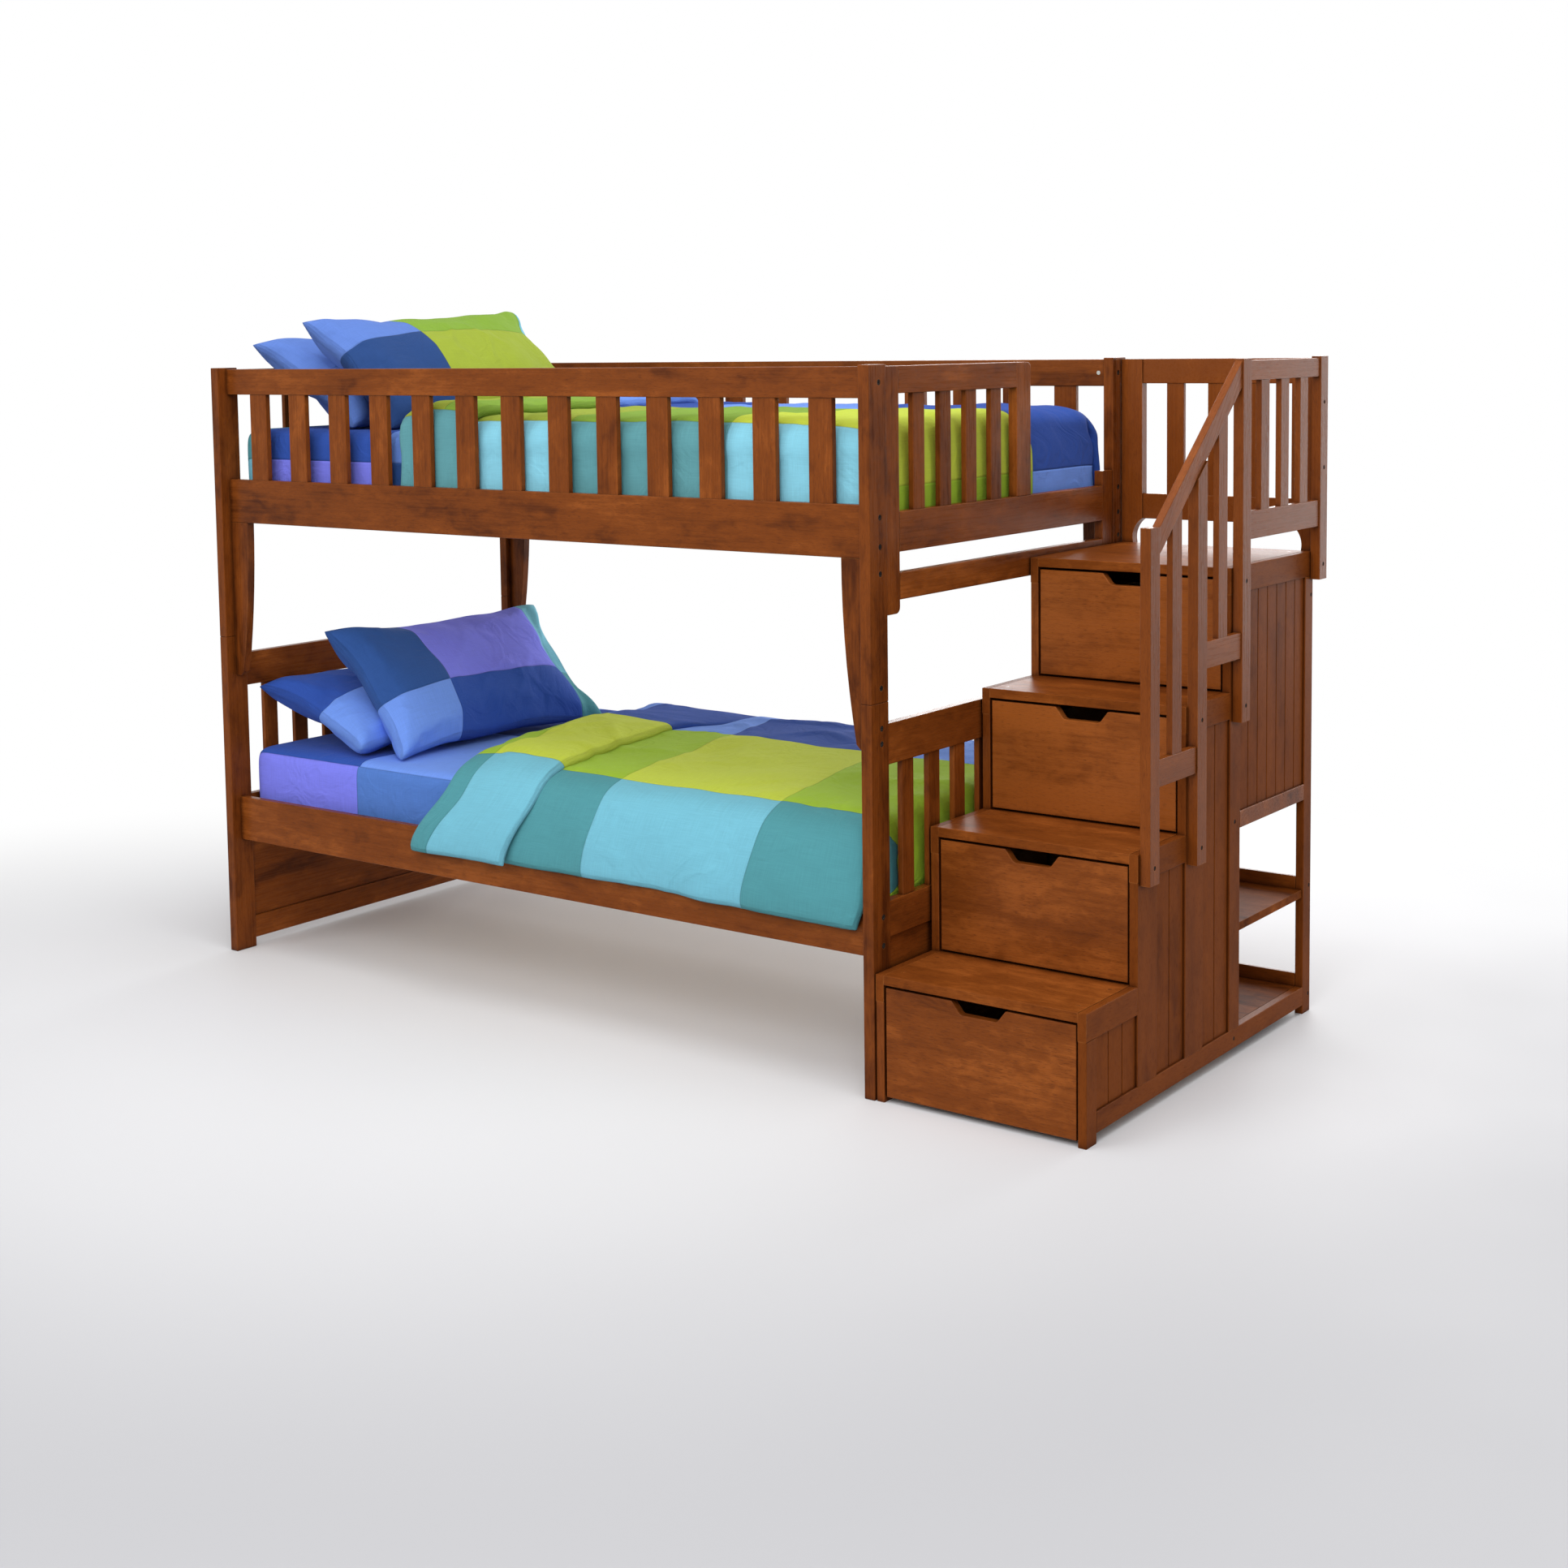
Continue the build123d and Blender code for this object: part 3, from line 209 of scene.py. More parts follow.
def make_board_grain():
    """Wood along the first axis: broad figure, streaks and short pores, under a stain."""
    tones = [(title, COLOUR, tone) for title, tone in zip(("Deep", "Body", "Lit"), STAIN_TONES)]
    group, given, result = new_group(
        "board_grain",
        [
            ("Place", VECTOR, None),
            *tones,
            ("Figure", FLOAT, 1.0),
            ("Pores", FLOAT, 1.0),
            ("Lift", FLOAT, 0.0),
            ("Contrast", FLOAT, 1.0),
        ],
        [("Color", COLOUR), ("Roughness", FLOAT), ("Height", FLOAT)],
    )
    place = given["Place"]
    board = cloud(group, place, BOARD_TO_BOARD, detail=1.0)
    figure = cloud(group, place, BROAD_FIGURE, detail=3.0, roughness=0.55, distortion=0.9)
    patch = cloud(group, place, STAIN_PATCHES, detail=2.0, distortion=0.6)
    blotch = cloud(group, place, STAIN_BLOTCHES, detail=3.0, roughness=0.6, distortion=0.9)
    streak = cloud(group, place, GRAIN_STREAKS, detail=4.0, roughness=0.62)
    flecks = cloud(group, place, PORE_FLECKS, detail=1.0)
    pore = calc(group, "MULTIPLY", spread(group, flecks, *PORE_BAND), given["Pores"])
    swing = calc(group, "MULTIPLY", calc(group, "SUBTRACT", figure, MIDDLE_TONE), given["Figure"])
    causes = ((board, BOARD_SWING), (patch, PATCH_SWING), (blotch, BLOTCH_SWING), (streak, STREAK_SWING))
    for cause, amount in causes:
        swing = calc(group, "MULTIPLY_ADD", calc(group, "SUBTRACT", cause, MIDDLE_TONE), amount, swing)
    level = calc(group, "ADD", given["Lift"], MIDDLE_TONE)
    tone = calc(group, "MULTIPLY_ADD", swing, given["Contrast"], level)
    low = mix_colour(group, spread(group, tone, *DEEP_TO_BODY), given["Deep"], given["Body"])
    colour = mix_colour(group, spread(group, tone, *BODY_TO_LIT), low, given["Lit"])
    colour = mix_colour(group, calc(group, "MULTIPLY", pore, PORE_STAIN), colour, given["Deep"])
    group.links.new(colour, result["Color"])
    gloss = calc(group, "MULTIPLY_ADD", streak, STREAK_SATIN, SATIN)
    group.links.new(calc(group, "MULTIPLY_ADD", pore, PORE_SATIN, gloss), result["Roughness"])
    height = calc(group, "MULTIPLY_ADD", streak, STREAK_HEIGHT, calc(group, "MULTIPLY", pore, PORE_HEIGHT))
    group.links.new(height, result["Height"])
    return group


GLAZE_REACH = 0.016
GLAZE_BAND = (0.30, 0.97)


def make_corner_glaze():
    """Mask of the joints and inner corners, where stain gathers and where shade is painted in by occlusion.
    """
    group, given, result = new_group("corner_glaze_and_shade", [("Reach", FLOAT, GLAZE_REACH)], [("Mask", FLOAT)])
    closed = add(group, "ShaderNodeAmbientOcclusion", {"Distance": given["Reach"]}, samples=6)
    group.links.new(spread(group, closed.outputs["AO"], *GLAZE_BAND, 1.0, 0.0), result["Mask"])
    return group


EDGE_ROUND = 0.003
EDGE_BAND = (0.70, 0.995)
RUB_PATCHES = (9.0, 31.0, 31.0)
RUB_BAND = (0.34, 0.66)


def make_edge_wear_and_highlight():
    """Mask of the eased edges, where a finish wears first and where highlights are painted in."""
    group, given, result = new_group(
        "edge_wear_and_highlight", [("Radius", FLOAT, EDGE_ROUND), ("Place", VECTOR, None)], [("Mask", FLOAT)]
    )
    eased = add(group, "ShaderNodeBevel", {"Radius": given["Radius"]}, samples=4)
    flat = add(group, "ShaderNodeNewGeometry")
    normals = {0: eased.outputs[0], 1: flat.outputs["Normal"]}
    facing = add(group, "ShaderNodeVectorMath", normals, operation="DOT_PRODUCT")
    edge = spread(group, facing.outputs["Value"], *EDGE_BAND, 1.0, 0.0)
    patch = cloud(group, given["Place"], RUB_PATCHES, detail=3.0, roughness=0.6)
    group.links.new(calc(group, "MULTIPLY", edge, spread(group, patch, *RUB_BAND)), result["Mask"])
    return group


THREADS_PER_METRE = 1700.0
SLUB_ACROSS, SLUB_ALONG = 620.0, 18.0
CLOTH_TONE, SLUB_TONE = 0.78, 0.22
KNIT_HEIGHT = 0.35


def make_cotton_weave():
    """Plain weave by its two thread directions, with slubs in both."""
    group, given, result = new_group(
        "cotton_weave",
        [("Place", VECTOR, None), ("Threads", FLOAT, THREADS_PER_METRE)],
        [("Tone", FLOAT), ("Height", FLOAT)],
    )
    parts = add(group, "ShaderNodeSeparateXYZ", {0: given["Place"]}).outputs
    turn = calc(group, "MULTIPLY", given["Threads"], 2.0 * math.pi)
    warp = calc(group, "SINE", calc(group, "MULTIPLY", parts[0], turn))
    weft = calc(group, "SINE", calc(group, "MULTIPLY", parts[1], turn))
    knit = calc(group, "MULTIPLY", warp, weft)
    slub_warp = cloud(group, given["Place"], (SLUB_ACROSS, SLUB_ALONG, 1.0), detail=2.0)
    slub_weft = cloud(group, given["Place"], (SLUB_ALONG, SLUB_ACROSS, 1.0), detail=2.0)
    slub = calc(group, "ADD", slub_warp, slub_weft)
    group.links.new(calc(group, "MULTIPLY_ADD", slub, SLUB_TONE, CLOTH_TONE), result["Tone"])
    group.links.new(calc(group, "MULTIPLY_ADD", knit, KNIT_HEIGHT, slub), result["Height"])
    return group


CREASES_PER_METRE = 9.0
CREASE_WIDTH = 0.16


def make_soft_creases():
    """Fine handling creases of a washed cotton."""
    group, given, result = new_group(
        "soft_creases", [("Place", VECTOR, None), ("Scale", FLOAT, CREASES_PER_METRE)], [("Height", FLOAT)]
    )
    broad = cloud(group, given["Place"], given["Scale"], detail=3.0, distortion=1.1)
    ridge = calc(group, "ABSOLUTE", calc(group, "SUBTRACT", broad, MIDDLE_TONE))
    group.links.new(spread(group, ridge, 0.0, CREASE_WIDTH, 1.0, 0.0), result["Height"])
    return group


SEAM_GROOVE = 0.004
STITCH_SHARE, STITCH_SHADE = 0.45, 0.72


def make_sewn_seam():
    """Groove and stitch line beside a join between two blocks of cloth."""
    group, given, result = new_group(
        "sewn_seam",
        [("Distance", FLOAT, 1.0), ("Groove", FLOAT, SEAM_GROOVE)],
        [("Height", FLOAT), ("Shade", FLOAT)],
    )
    dip = spread(group, given["Distance"], 0.0, given["Groove"], -1.0, 0.0)
    group.links.new(dip, result["Height"])
    narrow = calc(group, "MULTIPLY", given["Groove"], STITCH_SHARE)
    group.links.new(spread(group, given["Distance"], 0.0, narrow, STITCH_SHADE, 1.0), result["Shade"])
    return group


BOARD_GRAIN = make_board_grain()
EDGE_WEAR_AND_HIGHLIGHT = make_edge_wear_and_highlight()
CORNER_GLAZE_AND_SHADE = make_corner_glaze()
COTTON_WEAVE = make_cotton_weave()
SOFT_CREASES = make_soft_creases()
SEWN_SEAM = make_sewn_seam()


def new_finish(name):
    material = bpy.data.materials.new(name)
    material.use_nodes = True
    tree = material.node_tree
    tree.nodes.clear()
    surface = add(tree, "ShaderNodeBsdfPrincipled")
    add(tree, "ShaderNodeOutputMaterial", {"Surface": surface.outputs["BSDF"]})
    return material, tree, surface


def coat(tree, surface, colour, roughness, shine, bump=None):
    """Sets a finish; bump is (strength, depth, height)."""
    feed(tree, surface, {"Base Color": colour, "Roughness": roughness, "Specular IOR Level": shine})
    if bump is not None:
        relief = add(tree, "ShaderNodeBump", dict(zip(("Strength", "Distance", "Height"), bump)))
        feed(tree, surface, {"Normal": relief.outputs[0]})


# woods
STEP_RISE, STEP_RUN = 267.0, 212.0
STAIR_SLOPE = math.atan2(STEP_RISE, STEP_RUN)
# the handrail's sloped piece is above this height, and its level rails are below
SLOPED_RAIL_FOOT = 1.0


def grain_place(tree, run):
    """Object place turned so its first axis runs along the grain."""
    place = object_place(tree)
    x, y, z = add(tree, "ShaderNodeSeparateXYZ", {0: place}).outputs
    if run == UP_THE_STAIR:
        tilted = add(tree, "ShaderNodeVectorRotate", {"Vector": place}, rotation_type="X_AXIS")
        above = calc(tree, "GREATER_THAN", z, SLOPED_RAIL_FOOT)
        feed(tree, tilted, {"Angle": calc(tree, "MULTIPLY", above, -STAIR_SLOPE)})
        x, y, z = add(tree, "ShaderNodeSeparateXYZ", {0: tilted.outputs[0]}).outputs
    order = {ALONG_BED: (x, y, z), UPRIGHT: (z, x, y)}.get(run, (y, z, x))
    return add(tree, "ShaderNodeCombineXYZ", dict(enumerate(order))).outputs[0]


WOOD_SHINE = 0.08
GLAZE_AND_SHADE_SHARE = 0.85
GRAIN_BUMP, GRAIN_DEPTH = 0.14, 0.0005
# faces of the grooved boards, and how far behind them a groove is painted dark, as shade with stain gathered
# in it
BOARD_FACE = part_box("beadboards")[1][0] - 0.0002
GROOVE_SOFT = 0.0022


def make_wood(
    name, run, tones, gloss=0.0, figure=0.55, pores=1.0, rub=0.55,
    lift=0.0, contrast=1.0, shine=WOOD_SHINE, groove=None,
):
    """Finish of boards whose grain runs one way; groove is the place of the face that grooves are cut in,
    behind which they are painted dark as shade with gathered stain; rub pales the edges for wear and as
    painted highlights.
    """
    material, tree, surface = new_finish(name)
    place = grain_place(tree, run)
    deep, body, lit, worn_and_highlight_tone, glaze_and_shade_tone = tones
    values = {"Place": place, "Deep": deep, "Body": body, "Lit": lit}
    values.update({"Figure": figure, "Pores": pores, "Lift": lift, "Contrast": contrast})
    grain = add(tree, "ShaderNodeGroup", values, node_tree=BOARD_GRAIN).outputs
    # eased edges paled partly by wear and partly as painted highlights
    edge = add(tree, "ShaderNodeGroup", {"Place": place}, node_tree=EDGE_WEAR_AND_HIGHLIGHT).outputs["Mask"]
    worn = calc(tree, "MULTIPLY", edge, rub)
    # joints and inner corners darkened partly by gathered stain and partly as painted shade from occlusion
    joint = add(tree, "ShaderNodeGroup", node_tree=CORNER_GLAZE_AND_SHADE).outputs["Mask"]
    colour = mix_colour(tree, worn, grain["Color"], worn_and_highlight_tone)
    colour = mix_colour(tree, calc(tree, "MULTIPLY", joint, GLAZE_AND_SHADE_SHARE), colour, glaze_and_shade_tone)
    # grooves painted in the dark joint tone: painted shade in the recess, with stain gathered there
    if groove is not None:
        depth_place = add(tree, "ShaderNodeSeparateXYZ", {0: object_place(tree)})
        sunk = spread(tree, depth_place.outputs[0], groove - GROOVE_SOFT, groove, 1.0, 0.0)
        colour = mix_colour(tree, sunk, colour, glaze_and_shade_tone)
    rough = calc(tree, "ADD", grain["Roughness"], gloss)
    coat(tree, surface, colour, rough, shine, (GRAIN_BUMP, GRAIN_DEPTH, grain["Height"]))
    return material


def stained_wood(name, run, **changes):
    return make_wood("stained_wood_" + name, run, STAIN_TONES, **changes)


def bare_wood(name, run):
    return make_wood("bare_wood_" + name, run, BARE_TONES, gloss=0.28, figure=0.8, pores=0.5, rub=0.3)


stained = {run: stained_wood(run.replace(" ", "_"), run) for run in STRAIGHT_RUNS}
# lighter copies of the stain on the upper drawer fronts: painted light, where more light falls on them
painted_light_boards = stained_wood("painted_light_boards", ALONG_BED, lift=0.32)
painted_half_light_boards = stained_wood("painted_half_light_boards", ALONG_BED, lift=0.14)
dark_posts = stained_wood("dark_posts", UPRIGHT, lift=-0.12)
dark_braces = stained_wood("dark_braces", UPRIGHT, lift=-0.26)
grooved_boards = stained_wood(
    "grooved_boards", UPRIGHT, gloss=0.10, rub=0.0, lift=-0.08, contrast=0.6, shine=0.02, groove=BOARD_FACE
)
dull_shelves = stained_wood("dull_shelves", ALONG_BED, gloss=0.20, lift=-0.08, shine=0.015)
dull_cross_rails = stained_wood(
    "dull_cross_rails", ACROSS_BED, gloss=0.15, lift=-0.06, contrast=0.6, shine=0.03
)
dull_stiles = stained_wood("dull_stiles", UPRIGHT, gloss=0.15, lift=-0.10, contrast=0.5, shine=0.03)
plain_rails = stained_wood("plain_rails", ACROSS_BED, lift=0.06, contrast=0.4, shine=0.09)
plain_uprights = stained_wood("plain_uprights", UPRIGHT, contrast=0.5, shine=0.09)
plain_handrail = stained_wood("plain_handrail", UP_THE_STAIR, lift=0.06, contrast=0.5, shine=0.09)
# treads a little lighter than the plain stain and with little shine: painted light, standing in for the sheen
# and light their tops catch
painted_light_stair_treads = stained_wood("painted_light_stair_treads", ALONG_BED, gloss=0.10, lift=0.05, shine=0.035)
bare = {run: bare_wood(run.replace(" ", "_"), run) for run in STRAIGHT_RUNS}

# metals
SCUFFS = (260.0, 260.0, 260.0)
SCUFF_BAND, SCUFF_RUB = (0.62, 0.74), 0.5
SCUFF_ROUGHNESS = 0.2
SCUFF_BUMP, SCUFF_DEPTH = 0.2, 0.0002
METAL_EDGE = 0.0012


def make_metal(name, body, worn, roughness, metal, shine):
    material, tree, surface = new_finish(name)
    place = object_place(tree)
    scuff = cloud(tree, place, SCUFFS, detail=3.0, roughness=0.6)
    edge = add(tree, "ShaderNodeGroup", {"Place": place, "Radius": METAL_EDGE}, node_tree=EDGE_WEAR_AND_HIGHLIGHT)
    rub = calc(tree, "MAXIMUM", edge.outputs["Mask"], spread(tree, scuff, *SCUFF_BAND, 0.0, SCUFF_RUB))
    colour = mix_colour(tree, rub, body, worn)
    rough = calc(tree, "MULTIPLY_ADD", scuff, SCUFF_ROUGHNESS, roughness)
    coat(tree, surface, colour, rough, shine, (SCUFF_BUMP, SCUFF_DEPTH, scuff))
    feed(tree, surface, {"Metallic": metal})
    return material


black_bolts = make_metal("blackened_bolts", BOLT_BLACK, BOLT_WORN, roughness=0.45, metal=0.0, shine=0.05)
steel_nuts = make_metal("plated_nuts", NUT_STEEL, NUT_DULL, roughness=0.22, metal=0.9, shine=0.5)

NODE_FINISHES = [
    (
        stained[ALONG_BED],
        "guard_top_rails upper_side_rails lower_side_rails shelf_head_rails shelf_lips drawer_1_front",
    ),
    (painted_half_light_boards, "drawer_2_front"),
    (painted_light_boards, "drawer_3_front drawer_4_front"),
    (
        stained[ACROSS_BED],
        "head_end_rails foot_end_rails lower_end_panels upper_head_rails entry_rails tread_plugs",
    ),
    (
        stained[UPRIGHT],
        "guard_slats lower_end_slats upper_head_slats entry_stiles entry_slats "
        "tower_left_stiles tower_left_panels shelf_partition tower_back_panel",
    ),
    (dark_posts, "lower_posts upper_posts"),
    (dark_braces, "post_braces"),
    (grooved_boards, "beadboards"),
    (dull_shelves, "shelf_boards"),
    (dull_cross_rails, "tower_base_rails tread_caps"),
    (dull_stiles, "tower_right_stiles tower_rear_posts"),
    (painted_light_stair_treads, "treads"),
    (plain_rails, "platform_guard_rails"),
    (plain_uprights, "handrail_posts stair_guard_slats platform_back_stiles"),
    (plain_handrail, "handrail_rails"),
    (bare[ALONG_BED], "slat_cleats"),
    (
        bare[ACROSS_BED],
        "lower_bed_slats upper_bed_slats drawer_runners drawer_1_box drawer_2_box drawer_3_box drawer_4_box",
    ),
    (bare[UPRIGHT], "post_dowels"),
    (black_bolts, "rail_bolts handrail_bolts tower_bolts"),
    (steel_nuts, "cross_nuts"),
]
for finish, names in NODE_FINISHES:
    for node_name in names.split():
        mesh = nodes[node_name].data
        mesh.materials.clear()
        mesh.materials.append(finish)


# cottons in sewn blocks
SEAM_SOFT = 0.0006


def sewn_column(limit, seams, *dyes):
    """One column of blocks: its upper limit across, and each block's upper limit along with its dye."""
    return limit, list(zip((*seams, None), dyes))


def block_colour(tree, along, across, columns):
    """Colour and seam distance of blocks sewn in columns, which are given in order."""
    colour, distance = None, None
    for limit_across, blocks in reversed(columns):
        column, gap = None, None
        for limit_along, dyed in reversed(blocks):
            if column is None:
                column = dyed
                continue
            past = spread(tree, along, limit_along - SEAM_SOFT, limit_along + SEAM_SOFT)
            column = mix_colour(tree, past, dyed, column)
            near = calc(tree, "ABSOLUTE", calc(tree, "SUBTRACT", along, limit_along))
            gap = near if gap is None else calc(tree, "MINIMUM", gap, near)
        gap = 1.0 if gap is None else gap
        if colour is None:
            colour, distance = column, gap
            continue
        past = spread(tree, across, limit_across - SEAM_SOFT, limit_across + SEAM_SOFT)
        colour = mix_colour(tree, past, column, colour)
        distance = mix_value(tree, past, gap, distance)
        near = calc(tree, "ABSOLUTE", calc(tree, "SUBTRACT", across, limit_across))
        distance = calc(tree, "MINIMUM", distance, near)
    return colour, distance


UNDER_LAYER = -0.5
COTTON_ROUGHNESS, THREAD_ROUGHNESS = 0.74, 0.1
CREASE_HEIGHT, WEAVE_HEIGHT = 0.8, 0.10
COTTON_BUMP, COTTON_DEPTH = 0.7, 0.0024
COTTON_SHINE = 0.06
COTTON_SHEEN, SHEEN_ROUGHNESS = 0.04, 0.5


def make_cotton(name, columns, backing=None):
    """Washed cotton in sewn blocks, laid out by the cloth's own flat measures."""
    material, tree, surface = new_finish(name)
    flat = add(tree, "ShaderNodeAttribute", attribute_name="flat").outputs["Vector"]
    along, across, side = add(tree, "ShaderNodeSeparateXYZ", {0: flat}).outputs
    colour, distance = block_colour(tree, along, across, columns)
    if backing is not None:
        colour = mix_colour(tree, calc(tree, "LESS_THAN", side, UNDER_LAYER), colour, backing)
    weave = add(tree, "ShaderNodeGroup", {"Place": flat}, node_tree=COTTON_WEAVE).outputs
    crease = add(tree, "ShaderNodeGroup", {"Place": flat}, node_tree=SOFT_CREASES).outputs["Height"]
    seam = add(tree, "ShaderNodeGroup", {"Distance": distance}, node_tree=SEWN_SEAM).outputs
    tone = calc(tree, "MULTIPLY", weave["Tone"], seam["Shade"])
    grey = add(tree, "ShaderNodeCombineColor", {0: tone, 1: tone, 2: tone}).outputs[0]
    colour = mix_colour(tree, 1.0, colour, grey, "MULTIPLY")
    rough = calc(tree, "MULTIPLY_ADD", weave["Tone"], THREAD_ROUGHNESS, COTTON_ROUGHNESS)
    threads = calc(tree, "MULTIPLY", weave["Height"], WEAVE_HEIGHT)
    height = calc(tree, "MULTIPLY_ADD", crease, CREASE_HEIGHT, threads)
    height = calc(tree, "ADD", height, seam["Height"])
    coat(tree, surface, colour, rough, COTTON_SHINE, (COTTON_BUMP, COTTON_DEPTH, height))
    feed(tree, surface, {"Sheen Weight": COTTON_SHEEN, "Sheen Roughness": SHEEN_ROUGHNESS})
    return material


# cloth meshes
CORNER_CUT = 0.25
WAVE_LENGTHS, WAVE_HEIGHT = (0.55, 1.6), 0.8
RUCK_NARROW, RUCK_EDGE = 2.4, 1.3
RUCK_SPREAD, RUCK_BAND = 2.2, (-0.35, 0.75)


def smoothstep(value, low, high):
    part = np.clip((np.asarray(value, float) - low) / (high - low), 0.0, 1.0)
    return part * part * (3.0 - 2.0 * part)


def even_run(points, step, rounds=3):
    """Corners of an open path cut smooth, then points an even step apart along it."""
    path = np.array(points, float)
    for _ in range(rounds):
        ends = path[:1], path[-1:]
        cut = np.empty((2 * len(path) - 2, path.shape[1]))
        cut[0::2] = (1.0 - CORNER_CUT) * path[:-1] + CORNER_CUT * path[1:]
        cut[1::2] = CORNER_CUT * path[:-1] + (1.0 - CORNER_CUT) * path[1:]
        path = np.concatenate((ends[0], cut, ends[1]))
    reach = np.concatenate(([0.0], np.cumsum(np.linalg.norm(np.diff(path, axis=0), axis=1))))
    marks = np.linspace(0.0, reach[-1], max(2, int(round(reach[-1] / step)) + 1))
    return np.stack([np.interp(marks, reach, path[:, k]) for k in range(path.shape[1])], axis=1), marks


def ripples(x, y, seed, scale, layers=5):
    """Gentle seeded waviness between about -1 and 1."""
    dice = np.random.default_rng(seed)
    total = np.zeros(np.broadcast(x, y).shape)
    for _ in range(layers):
        turn = dice.uniform(0.0, 2.0 * math.pi)
        length = scale * dice.uniform(*WAVE_LENGTHS)
        phase = dice.uniform(0.0, 2.0 * math.pi)
        total = total + np.sin((x * math.cos(turn) + y * math.sin(turn)) * 2.0 * math.pi / length + phase)
    return total / math.sqrt(layers) * WAVE_HEIGHT


def rucks(x, y, seed, scale):
    """Narrow seeded ridges that come and go, from 0 between them to 1 on a crest."""
    crest = np.clip(1.0 - RUCK_NARROW * np.abs(ripples(x, y, seed, scale)), 0.0, 1.0)
    return crest**RUCK_EDGE * smoothstep(ripples(x, y, seed + 1, RUCK_SPREAD * scale), *RUCK_BAND)


def cloth_shell(name, middle, half, keep, flat):
    """Closed two-layer piece round a middle surface; the layers meet in a sewn rim."""
    rows, cols = half.shape
    normal = np.cross(np.gradient(middle, axis=0), np.gradient(middle, axis=1))
    normal /= np.maximum(np.linalg.norm(normal, axis=2, keepdims=True), TINY)
    around = np.zeros((rows, cols), int)
    corners = [(i, j) for i in (0, 1) for j in (0, 1)]
    for i, j in corners:
        around[i : rows - 1 + i, j : cols - 1 + j] += keep
    used = around > 0
    inner = around == len(corners)
    offset = normal * np.where(inner, half, 0.0)[..., None]
    upper = np.full((rows, cols), -1)
    upper[used] = np.arange(used.sum())
    lower = upper.copy()
    lower[inner] = used.sum() + np.arange(inner.sum())
    points = np.concatenate(((middle + offset)[used], (middle - offset)[inner]))
    side = np.where(inner, 1.0, 0.0)
    layout = np.dstack((flat, side))
    marks = np.concatenate((layout[used], layout[inner] * (1.0, 1.0, -1.0)))
    faces = []
    for i, j in np.argwhere(keep):
        ring = ((i, j), (i + 1, j), (i + 1, j + 1), (i, j + 1))
        faces.append([int(upper[place]) for place in ring])
        faces.append([int(lower[place]) for place in reversed(ring)])
    return cloth_piece(name, points, faces, marks)


def cloth_piece(name, points, faces, marks):
    mesh = bpy.data.meshes.new(name)
    mesh.from_pydata([tuple(map(float, point)) for point in points], [], faces)
    layer = mesh.attributes.new("flat", "FLOAT_VECTOR", "POINT")
    layer.data.foreach_set("vector", np.ascontiguousarray(marks, dtype=np.float32).ravel())
    mesh.polygons.foreach_set("use_smooth", [True] * len(mesh.polygons))
    mesh.update()
    piece = bpy.data.objects.new(name, mesh)
    scene.collection.objects.link(piece)
    return piece


def points_of(mesh):
    points = np.empty(len(mesh.vertices) * 3)
    mesh.vertices.foreach_get("co", points)
    return points.reshape(-1, 3)


def set_points(piece, points):
    piece.data.vertices.foreach_set("co", np.ascontiguousarray(points, dtype=np.float32).ravel())
    piece.data.update()


CLOTH_FEEL = {
    "quality": 5, "mass": 0.25, "use_pressure": True,
    "tension_stiffness": 12.0, "compression_stiffness": 12.0, "shear_stiffness": 4.0,
}


def swell(piece, pressure, growth, bending, cap, frames=24):
    """Fills a sewn piece by cloth simulation; no point moves further than the cap."""
    start = points_of(piece.data)
    cloth = piece.modifiers.new("swell", "CLOTH")
    fabric = cloth.settings
    for key, value in CLOTH_FEEL.items():
        setattr(fabric, key, value)
    fabric.bending_stiffness = bending
    fabric.uniform_pressure_force = pressure
    fabric.shrink_min = -growth
    fabric.effector_weights.gravity = 0.0
    cloth.collision_settings.use_collision = False
    for count in range(1, frames + 1):
        scene.frame_set(count)
    settled = piece.evaluated_get(bpy.context.evaluated_depsgraph_get())
    move = points_of(settled.data) - start
    length = np.linalg.norm(move, axis=1, keepdims=True)
    piece.modifiers.remove(cloth)
    scene.frame_set(1)
    set_points(piece, start + move * np.minimum(1.0, cap / np.maximum(length, TINY)))


def dress(piece, finish, node):
    """Cotton, one subdivision, and the piece's place in the bed."""
    piece.data.materials.append(finish)
    rounding = piece.modifiers.new("soften", "SUBSURF")
    rounding.levels = 1
    rounding.render_levels = 1
    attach(piece, "bed_frame")
    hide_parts(node)


# mattresses in their fitted sheets
MATTRESS_ROUND = 0.034
MATTRESS_STEP = 0.024
SHEET_TURN = 0.6 * MATTRESS_ROUND
# how far a face has to look sideways, down or up to count as a side, the underside or the top
LOOKS_SIDEWAYS, LOOKS_DOWN, LOOKS_LEVEL, NOT_UNDER = 0.35, -0.9, 0.8, -0.6
PULL_ALONG, PULL_UP, PULL_LENGTH = 4.0, 0.8, 0.16
DENT_LENGTH = 0.45
TOP_DENT, SIDE_PULL = 0.0014, 0.0011


